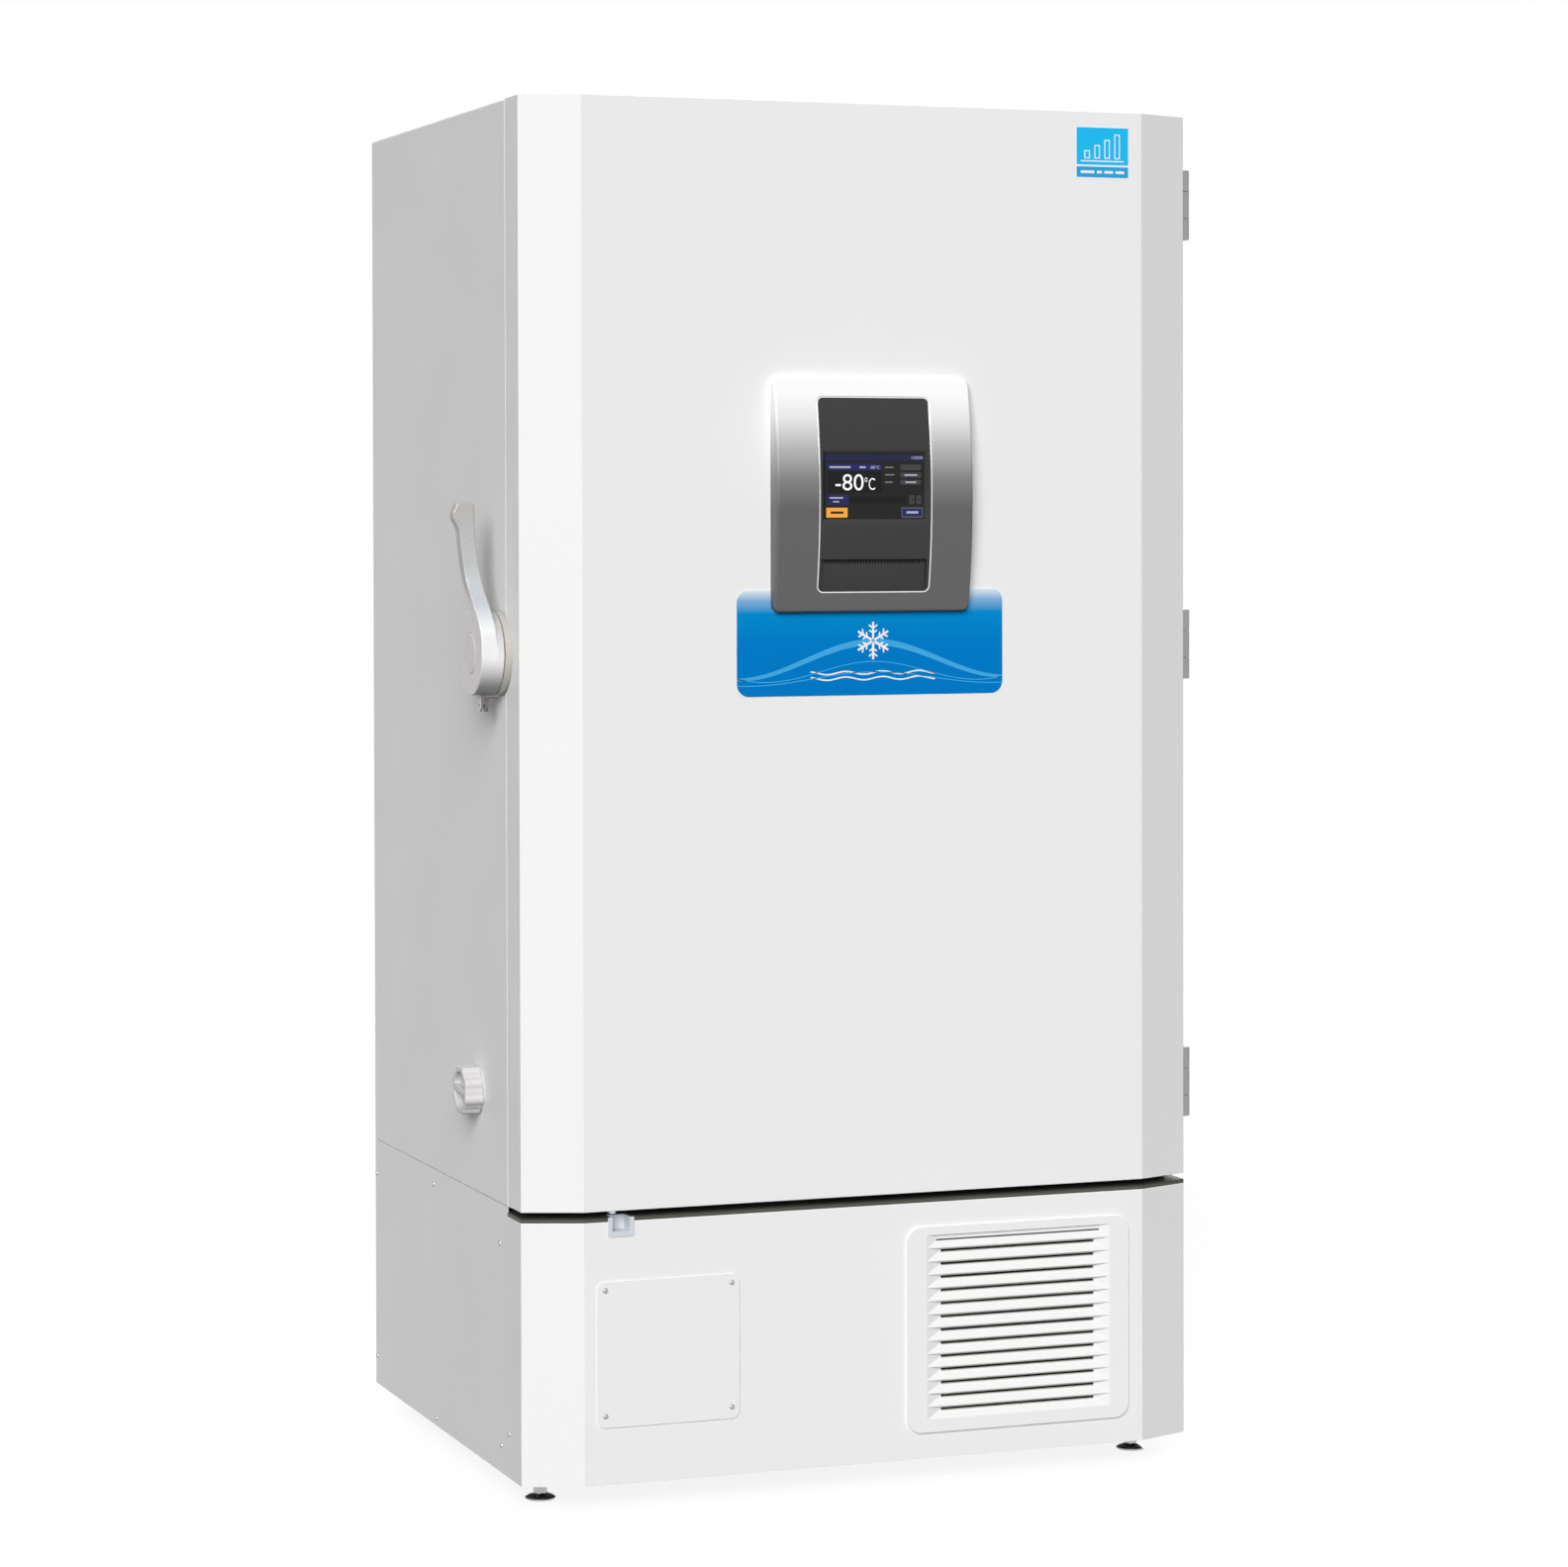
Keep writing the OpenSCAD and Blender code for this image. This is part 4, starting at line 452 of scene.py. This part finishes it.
def make_smoothing(name, angle):
    """Node group that shades a mesh smooth except at edges that turn by more than the angle."""
    group = bpy.data.node_groups.new(name, "GeometryNodeTree")
    group.interface.new_socket("Geometry", in_out="INPUT", socket_type="NodeSocketGeometry")
    group.interface.new_socket("Geometry", in_out="OUTPUT", socket_type="NodeSocketGeometry")
    start = group.nodes.new("NodeGroupInput")
    end = group.nodes.new("NodeGroupOutput")
    strip = group.nodes.new("GeometryNodeRemoveAttribute")
    strip.inputs["Name"].default_value = "custom_normal"
    all_faces = group.nodes.new("GeometryNodeSetShadeSmooth")
    all_edges = group.nodes.new("GeometryNodeSetShadeSmooth")
    all_edges.domain = "EDGE"
    sharp_edges = group.nodes.new("GeometryNodeSetShadeSmooth")
    sharp_edges.domain = "EDGE"
    sharp_edges.inputs["Shade Smooth"].default_value = False
    turn = group.nodes.new("GeometryNodeInputMeshEdgeAngle")
    over = group.nodes.new("FunctionNodeCompare")
    over.data_type = "FLOAT"
    over.operation = "GREATER_THAN"
    over.inputs["B"].default_value = angle
    links = group.links
    links.new(start.outputs[0], strip.inputs["Geometry"])
    links.new(strip.outputs["Geometry"], all_faces.inputs["Geometry"])
    links.new(all_faces.outputs["Geometry"], all_edges.inputs["Geometry"])
    links.new(all_edges.outputs["Geometry"], sharp_edges.inputs["Geometry"])
    links.new(turn.outputs["Unsigned Angle"], over.inputs["A"])
    links.new(over.outputs["Result"], sharp_edges.inputs["Selection"])
    links.new(sharp_edges.outputs["Geometry"], end.inputs[0])
    return group


round_smoothing = make_smoothing("smooth_round", math.radians(40))
faceted_smoothing = make_smoothing("smooth_faceted", math.radians(11))
faceted = ("door_skin", "base_front_panel", "control_panel", "intake_grille")
pierced = ("intake_grille",)          # many holes in one face, which merging would tear


def shade_smooth(piece, smoothing=round_smoothing):
    """Smooth shading whose normals follow the large faces, so flats stay flat."""
    smooth = piece.modifiers.new("smooth", "NODES")
    smooth.node_group = smoothing
    weigh = piece.modifiers.new("weigh", "WEIGHTED_NORMAL")
    weigh.keep_sharp = True
    weigh.weight = 80


def weld(node):
    """Joins the vertices that the CAD mesh splits at its edges."""
    joined = node.modifiers.new("weld", "WELD")
    joined.merge_threshold = 0.01 * mm


def soften(name, width):
    """Merges coplanar faces where that is safe, and rounds the sharp edges."""
    node = nodes[name]
    weld(node)
    if name not in pierced:
        flat = node.modifiers.new("flat", "DECIMATE")
        flat.decimate_type = "DISSOLVE"
        flat.angle_limit = math.radians(0.1 if name in faceted else 0.5)
    bevel = node.modifiers.new("bevel", "BEVEL")
    bevel.width = width
    bevel.segments = 2
    bevel.limit_method = "ANGLE"
    bevel.angle_limit = math.radians(12 if name in faceted else 32)
    shade_smooth(node, faceted_smoothing if name in faceted else round_smoothing)


def cast_round(name, grain, passes):
    """Rounds every edge of a cast or moulded part: a fine even mesh, then smoothed."""
    node = nodes[name]
    weld(node)
    even = node.modifiers.new("even", "REMESH")
    even.mode = "VOXEL"
    even.voxel_size = grain
    even.use_smooth_shade = True
    relax = node.modifiers.new("relax", "SMOOTH")
    relax.factor = 0.5
    relax.iterations = passes


cast_grains = {"latch_lever": (0.9, 18), "vent_cap": (0.7, 6)}     # mm, passes
for name, (grain, passes) in cast_grains.items():
    cast_round(name, grain * mm, passes)

edge_widths = {                       # mm
    "door_skin": 0.5, "cabinet_shell": 0.6, "base_side_panels": 0.4, "base_front_panel": 0.5,
    "base_rear_panel": 0.4, "blank_plate": 0.5, "rear_spacers": 0.6, "cabinet_hinges": 1.2,
    "door_hinges": 1.2, "latch_base": 0.8, "control_panel": 0.5,
    "key_pocket": 0.7, "breaker_frame": 0.6, "inner_door_upper": 2.0, "inner_door_lower": 2.0,
    "inner_latch_upper": 1.5, "inner_latch_lower": 1.5, "vent_sleeve": 0.6,
    "foot_left": 0.5, "foot_right": 0.5, "power_inlet": 0.6, "shelves": 0.4, "door_gasket": 0.8,
    "heat_exchanger": 2.0, "control_box": 0.8, "panel_trim": 0.5, "intake_grille": 0.6,
    "key_lock": 0.4,
}
for name, width in edge_widths.items():
    soften(name, width * mm)


# Pieces of the looks

def rounded_loop(x0, x1, z0, z1, r, corner=6, side=16):
    """Points round a rectangle with round corners: as many of them whatever its size."""
    arcs = []
    centres = ((x1 - r, z1 - r), (x0 + r, z1 - r), (x0 + r, z0 + r), (x1 - r, z0 + r))
    for (x, z), start in zip(centres, (0, 90, 180, 270)):
        turns = [math.radians(start + 90 * k / corner) for k in range(corner + 1)]
        arcs.append([(x + r * math.cos(t), z + r * math.sin(t)) for t in turns])
    points = []
    for i, arc in enumerate(arcs):
        points += arc
        (xa, za), (xb, zb) = arc[-1], arcs[(i + 1) % 4][0]
        points += [(xa + (xb - xa) * k / side, za + (zb - za) * k / side) for k in range(1, side)]
    return points


def bridge(bm, loops):
    """Quads between each loop of points and the next, and from the last loop to the first."""
    rings = [[bm.verts.new(point) for point in loop] for loop in loops]
    for a, b in zip(rings, rings[1:] + rings[:1]):
        for i in range(len(a)):
            j = (i + 1) % len(a)
            bm.faces.new((a[i], a[j], b[j], b[i]))


def bar(bm, start, end, width, y_back, y_front, material):
    """A flat bar from one (x, z) to another."""
    way = (Vector(end) - Vector(start)).normalized()
    side = Vector((-way.y, way.x)) * width / 2
    flat = [Vector(start) - side, Vector(end) - side, Vector(end) + side, Vector(start) + side]
    slab(bm, [(p.x, p.y) for p in flat], y_back, y_front, material)


def slab(bm, outline, y_back, y_front, material):
    """A plate with an outline of (x, z), given anticlockwise as seen from the front."""
    front = [bm.verts.new((x, y_front, z)) for x, z in outline]
    back = [bm.verts.new((x, y_back, z)) for x, z in outline]
    faces = [bm.faces.new(front), bm.faces.new(back[::-1])]
    for i in range(len(front)):
        j = (i + 1) % len(front)
        faces.append(bm.faces.new((front[j], front[i], back[i], back[j])))
    for face in faces:
        face.material_index = material


def new_piece(name, bm, body, materials):
    mesh = bpy.data.meshes.new(name)
    bm.to_mesh(mesh)
    bm.free()
    for material in materials:
        mesh.materials.append(material)
    piece = bpy.data.objects.new(name, mesh)
    bpy.context.scene.collection.objects.link(piece)
    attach(piece, body)
    return piece


def make_bezel():
    """The arched frame round the control panel, with rounded edges."""
    outer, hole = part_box("control_bezel"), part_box("panel_trim")
    front, door_face = outer[0].y, outer[1].y
    half = (outer[1].z - outer[0].z) / 2
    middle = (outer[1].z + outer[0].z) / 2
    sag = 18 * mm
    radius = (half * half + sag * sag) / (2 * sag)
    corner, outer_edge, inner_edge = 10 * mm, 3.5 * mm, 1.2 * mm
    turns = [math.radians(t) for t in (0, 20, 40, 60, 78, 90)]

    def face(z):
        return front + radius - math.sqrt(radius * radius - (z - middle) ** 2)

    def outline(box, inset=0):
        low, high = box
        return rounded_loop(low.x + inset, high.x - inset, low.z + inset, high.z - inset, corner - inset)

    def on_door(box):
        return [(x, door_face, z) for x, z in outline(box)]

    def rounding(box, edge, way):
        """Loops from the side of the box to the arched face; the way is -1 round the hole."""
        return [[(x, face(z) + edge * (1 - math.sin(t)), z)
                 for x, z in outline(box, way * edge * (1 - math.cos(t)))] for t in turns]

    loops = [on_door(outer)] + rounding(outer, outer_edge, 1)
    last = loops[-1]
    rim = rounding(hole, inner_edge, -1)[::-1]
    for share in (0.33, 0.67):
        between = [(a[0] + (b[0] - a[0]) * share, a[2] + (b[2] - a[2]) * share)
                   for a, b in zip(last, rim[0])]
        loops.append([(x, face(z), z) for x, z in between])
    loops += rim + [on_door(hole)]
    bm = bmesh.new()
    bridge(bm, loops)
    piece = new_piece("bezel_shell", bm, "door", [bezel_silver])
    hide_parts("control_bezel")
    shade_smooth(piece)


def add_text(name, text, x0, x1, z0, z1, y, material):
    """A number or unit that fills the given field."""
    curve = bpy.data.curves.new(name, "FONT")
    curve.body = text
    holder = bpy.data.objects.new(name + "_line", curve)
    bpy.context.scene.collection.objects.link(holder)
    bpy.context.view_layer.update()
    mesh = bpy.data.meshes.new_from_object(holder.evaluated_get(bpy.context.evaluated_depsgraph_get()))
    bpy.data.objects.remove(holder)
    xs = [v.co.x for v in mesh.vertices]
    zs = [v.co.y for v in mesh.vertices]
    x_scale, z_scale = (x1 - x0) / (max(xs) - min(xs)), (z1 - z0) / (max(zs) - min(zs))
    for v in mesh.vertices:
        v.co = (x0 + (v.co.x - min(xs)) * x_scale, y, z0 + (v.co.y - min(zs)) * z_scale)
    mesh.name = name
    mesh.materials.clear()
    mesh.materials.append(material)
    piece = bpy.data.objects.new(name, mesh)
    bpy.context.scene.collection.objects.link(piece)
    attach(piece, "door")


def make_screen_picture():
    """What the lit screen shows: plain fields, bars and a temperature."""
    low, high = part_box("touch_screen")
    wide, tall = high.x - low.x, high.z - low.z
    layer = 0.06 * mm
    looks = [lit("lit_back", grey(0.0075)), lit("lit_bar", (0.008, 0.010, 0.055)),
             lit("lit_head", (0.012, 0.013, 0.10)), lit("lit_black", grey(0.001)),
             lit("lit_field", grey(0.045)), lit("lit_orange", (0.95, 0.40, 0.035)),
             lit("lit_pale", (0.42, 0.44, 0.55)), lit("lit_dim", grey(0.16))]
    back, strip, head, black, field, orange, pale, dim = range(len(looks))
    # Each field: left, right, bottom and top as shares of the screen, layer, look, corner radius
    fields = [
        (0.0, 1.0, 0.0, 1.0, 1, back, 0), (0.0, 1.0, 0.885, 0.99, 2, strip, 0),
        (0.028, 0.569, 0.737, 0.839, 2, head, 0), (0.028, 0.574, 0.398, 0.737, 2, black, 0),
        (0.76, 0.968, 0.742, 0.832, 2, field, 1), (0.76, 0.968, 0.63, 0.708, 2, field, 1),
        (0.76, 0.968, 0.522, 0.594, 2, field, 1), (0.028, 0.24, 0.212, 0.366, 2, head, 0),
        (0.24, 0.825, 0.237, 0.341, 2, black, 0), (0.85, 0.9, 0.222, 0.36, 2, field, 1),
        (0.919, 0.969, 0.222, 0.36, 2, field, 1), (0.017, 0.229, 0.017, 0.167, 2, orange, 0.6),
        (0.772, 0.985, 0.017, 0.17, 2, dim, 0.8), (0.778, 0.979, 0.028, 0.159, 3, head, 0.6),
        (0.05, 0.26, 0.774, 0.802, 3, pale, 0.4), (0.35, 0.41, 0.774, 0.802, 3, pale, 0.4),
        (0.605, 0.69, 0.775, 0.8, 2, dim, 0.4), (0.605, 0.7, 0.66, 0.685, 2, dim, 0.4),
        (0.605, 0.68, 0.546, 0.571, 2, dim, 0.4), (0.8, 0.93, 0.657, 0.681, 3, pale, 0.4),
        (0.81, 0.92, 0.547, 0.57, 3, pale, 0.4), (0.05, 0.185, 0.306, 0.33, 3, pale, 0.4),
        (0.085, 0.145, 0.25, 0.27, 3, pale, 0.3), (0.06, 0.19, 0.075, 0.11, 3, black, 0.5),
        (0.82, 0.94, 0.078, 0.113, 4, pale, 0.5),
    ]
    bm = bmesh.new()
    for left, right, bottom, top, level, look, r in fields:
        y = low.y - level * layer
        outline = rounded_loop(low.x + left * wide, low.x + right * wide, low.z + bottom * tall,
                               low.z + top * tall, max(r, 0.15) * mm, 3, 1)
        slab(bm, outline, y + layer / 2, y, look)
    for left, way in ((0.875, -1), (0.944, 1)):               # the arrows on two of the fields
        x, z = low.x + left * wide, low.z + 0.291 * tall
        foot, rise = x - way * mm, way * 1.6 * mm
        outline = [(x + way * 1.4 * mm, z), (foot, z + rise), (foot, z - rise)]
        slab(bm, outline, low.y - 2.5 * layer, low.y - 3 * layer, black)
    new_piece("screen_fields", bm, "door", looks)
    white = lit("lit_white", grey(0.95))
    faint = lit("lit_digits", (0.5, 0.52, 0.62))
    y = low.y - 3 * layer

    def place(name, text, left, right, bottom, top, material):
        add_text(name, text, low.x + left * wide, low.x + right * wide, low.z + bottom * tall,
                 low.z + top * tall, y, material)

    place("screen_number", "-80", 0.108, 0.39, 0.432, 0.681, white)
    place("screen_unit", "°C", 0.401, 0.505, 0.44, 0.632, white)
    place("screen_set_number", "-80°C", 0.452, 0.55, 0.764, 0.812, faint)
    place("screen_clock", "12:00:00", 0.872, 0.984, 0.915, 0.958, faint)


def make_plate_print():
    """Generic print of the plate: three pale swells of a wave, a snowflake and a fine double wave."""
    low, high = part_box("info_plate")
    film = 0.12 * mm
    y_back, y_front = low.y + 0.02 * mm, low.y - film
    middle = (low.x + high.x) / 2 + 3 * mm
    pale, white = 0, 1                # places in the piece's materials
    bm = bmesh.new()

    def ribbon(x0, x1, centre, width, material, steps=96):
        xs = [x0 + (x1 - x0) * k / steps for k in range(steps + 1)]
        for a, b in zip(xs, xs[1:]):
            outline = [(a, centre(a) - width(a) / 2), (b, centre(b) - width(b) / 2),
                       (b, centre(b) + width(b) / 2), (a, centre(a) + width(a) / 2)]
            slab(bm, outline, y_back, y_front, material)

    def swell(base, rise, length):
        return lambda x: low.z + base + rise * math.cos((x - middle) / length)

    edge_left, edge_right = low.x + 1 * mm, high.x - 1 * mm
    ribbon(edge_left, edge_right, swell(50 * mm, 26 * mm, 66 * mm),
           lambda x: (4 + 5 * abs(math.cos((x - middle) / (132 * mm)))) * mm, pale)
    ribbon(edge_left, edge_right, swell(34 * mm, 14 * mm, 52 * mm), lambda x: 1.3 * mm, pale)
    ribbon(edge_left, edge_right, swell(24 * mm, 9 * mm, 60 * mm), lambda x: 1.3 * mm, pale)
    for k in (0, 1):
        ribbon(middle - 96 * mm, middle + 96 * mm,
               lambda x, k=k: low.z + (24 + 8 * k) * mm + 2.2 * mm * math.sin((x - middle) / (9 * mm)),
               lambda x: 2.1 * mm, white, 160)
    centre = Vector((middle, low.z + 78 * mm))
    for k in range(6):
        way = Vector((math.sin(math.radians(60 * k)), math.cos(math.radians(60 * k))))
        bar(bm, centre + way * 1 * mm, centre + way * 27 * mm, 3.2 * mm, y_back,
            y_front - 0.05 * mm, white)
        for far, reach in ((11, 7), (18, 8)):
            for s in (-1, 1):
                turn = math.radians(60 * k + 55 * s)
                root = centre + way * far * mm
                tip = root + Vector((math.sin(turn), math.cos(turn))) * reach * mm
                bar(bm, root, tip, 2.3 * mm, y_back, y_front - 0.03 * mm, white)
    new_piece("plate_print", bm, "door", [ink_pale, ink_white])


def make_badge():
    """Generic sticker at the door's top right: a pale border, a blue field with bars, a strip."""
    door_low, door_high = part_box("door_skin")
    wide, tall = 86, 76               # mm, as are the sizes of the patches
    from_right, from_top = 103 * mm, 21 * mm
    x0, z0 = door_high.x - from_right - wide * mm, door_high.z - from_top - tall * mm
    film = 0.15 * mm
    white, blue, deep = 0, 1, 2       # places in the piece's materials
    bm = bmesh.new()

    def patch(left, low, w, h, level, material, r=0.6):
        outline = rounded_loop(x0 + left * mm, x0 + (left + w) * mm, z0 + low * mm,
                               z0 + (low + h) * mm, r * mm, 3, 1)
        slab(bm, outline, door_low.y, door_low.y - level * film, material)

    patch(0, 0, wide, tall, 1, white, 1.5)
    patch(1.6, 20, 82.8, 54.4, 2, blue)
    patch(1.6, 1.6, 82.8, 15.6, 2, deep)
    for k, rise in enumerate((12, 20, 28, 36)):
        patch(14 + 16 * k, 29, 9, rise, 3, white)
        patch(15.6 + 16 * k, 30.6, 5.8, rise - 3.2, 4, blue)
    patch(8, 24.5, 70, 1.8, 3, white, 0.5)
    for left, w in ((8, 22), (34, 8), (46, 14), (64, 14)):
        patch(left, 7.4, w, 4, 3, white)
    new_piece("badge", bm, "door", [ink_white, badge_blue, badge_deep])


def make_filter_pad():
    """The pleated filter medium in its frame, seen through the louvres and when the grille is off."""
    low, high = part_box("air_filter")
    inset = 11 * mm                   # the frame's bars are 12 mm wide
    front, deep = high.y - 3.2 * mm, high.y - 1.4 * mm
    pleat = 3 * mm
    x0, x1, z0, z1 = low.x + inset, high.x - inset, low.z + inset, high.z - inset
    count = round((x1 - x0) / pleat)
    bm = bmesh.new()
    rows = []
    for k in range(2 * count + 1):
        x = x0 + (x1 - x0) * k / (2 * count)
        y = front if k % 2 else deep
        rows.append([bm.verts.new((x, y, z)) for z in (z0, z1)])
    for a, b in zip(rows, rows[1:]):
        bm.faces.new((a[0], b[0], b[1], a[1]))
    new_piece("filter_pad", bm, "cabinet", [filter_medium])


make_bezel()
make_screen_picture()
make_plate_print()
make_badge()
make_filter_pad()


# Stage and light

def seen_path(tree):
    """1 for camera, glossy and transmission rays."""
    path = tree.nodes.new("ShaderNodeLightPath")
    seen = path.outputs["Is Camera Ray"]
    for kind in ("Is Glossy Ray", "Is Transmission Ray"):
        both = tree.nodes.new("ShaderNodeMath")
        both.operation = "MAXIMUM"
        tree.links.new(seen, both.inputs[0])
        tree.links.new(path.outputs[kind], both.inputs[1])
        seen = both.outputs[0]
    return seen


def make_floor():
    size = 14
    mesh = bpy.data.meshes.new("floor")
    mesh.from_pydata([(-size, -size, 0), (size, -size, 0), (size, size, 0), (-size, size, 0)], [],
                     [(0, 1, 2, 3)])
    floor = bpy.data.objects.new("floor", mesh)
    bpy.context.scene.collection.objects.link(floor)
    made = Nodes("floor_white", 0.9, Specular_IOR_Level=0.0)
    made.link(made.ramp(made.noise(2), [(0.3, grey(floor_tone)), (0.7, grey(floor_tone * 1.01))]),
              made.shader.inputs["Base Color"])
    glow = made.add("ShaderNodeMath", operation="MULTIPLY")
    glow.inputs[1].default_value = floor_glow
    made.link(seen_path(made.tree), glow.inputs[0])
    made.link(glow.outputs[0], made.shader.inputs["Emission Strength"])
    made.shader.inputs["Emission Color"].default_value = (1, 1, 1, 1)
    mesh.materials.append(made.material)


def make_world():
    world = bpy.data.worlds.new("room")
    bpy.context.scene.world = world
    world.use_nodes = True
    tree = world.node_tree
    background = tree.nodes["Background"]
    background.inputs["Color"].default_value = (1, 1, 1, 1)
    level = tree.nodes.new("ShaderNodeMapRange")
    level.inputs["To Min"].default_value = room_level
    level.inputs["To Max"].default_value = 1.0
    tree.links.new(seen_path(tree), level.inputs["Value"])
    tree.links.new(level.outputs["Result"], background.inputs["Strength"])


def make_lamp(name, azimuth, height, strength, spread):
    data = bpy.data.lights.new(name, "SUN")
    data.energy = strength
    data.angle = spread
    lamp = bpy.data.objects.new(name, data)
    towards = Vector((-math.sin(azimuth) * math.cos(height), -math.cos(azimuth) * math.cos(height),
                      math.sin(height)))
    lamp.rotation_mode = "QUATERNION"
    lamp.rotation_quaternion = towards.to_track_quat("Z", "Y")
    bpy.context.scene.collection.objects.link(lamp)


make_floor()
make_world()
make_lamp("key", key_azimuth, key_height, key_strength, key_spread)
make_lamp("back", back_azimuth, back_height, back_strength, back_spread)

scene = bpy.context.scene
scene.view_settings.view_transform = "Standard"
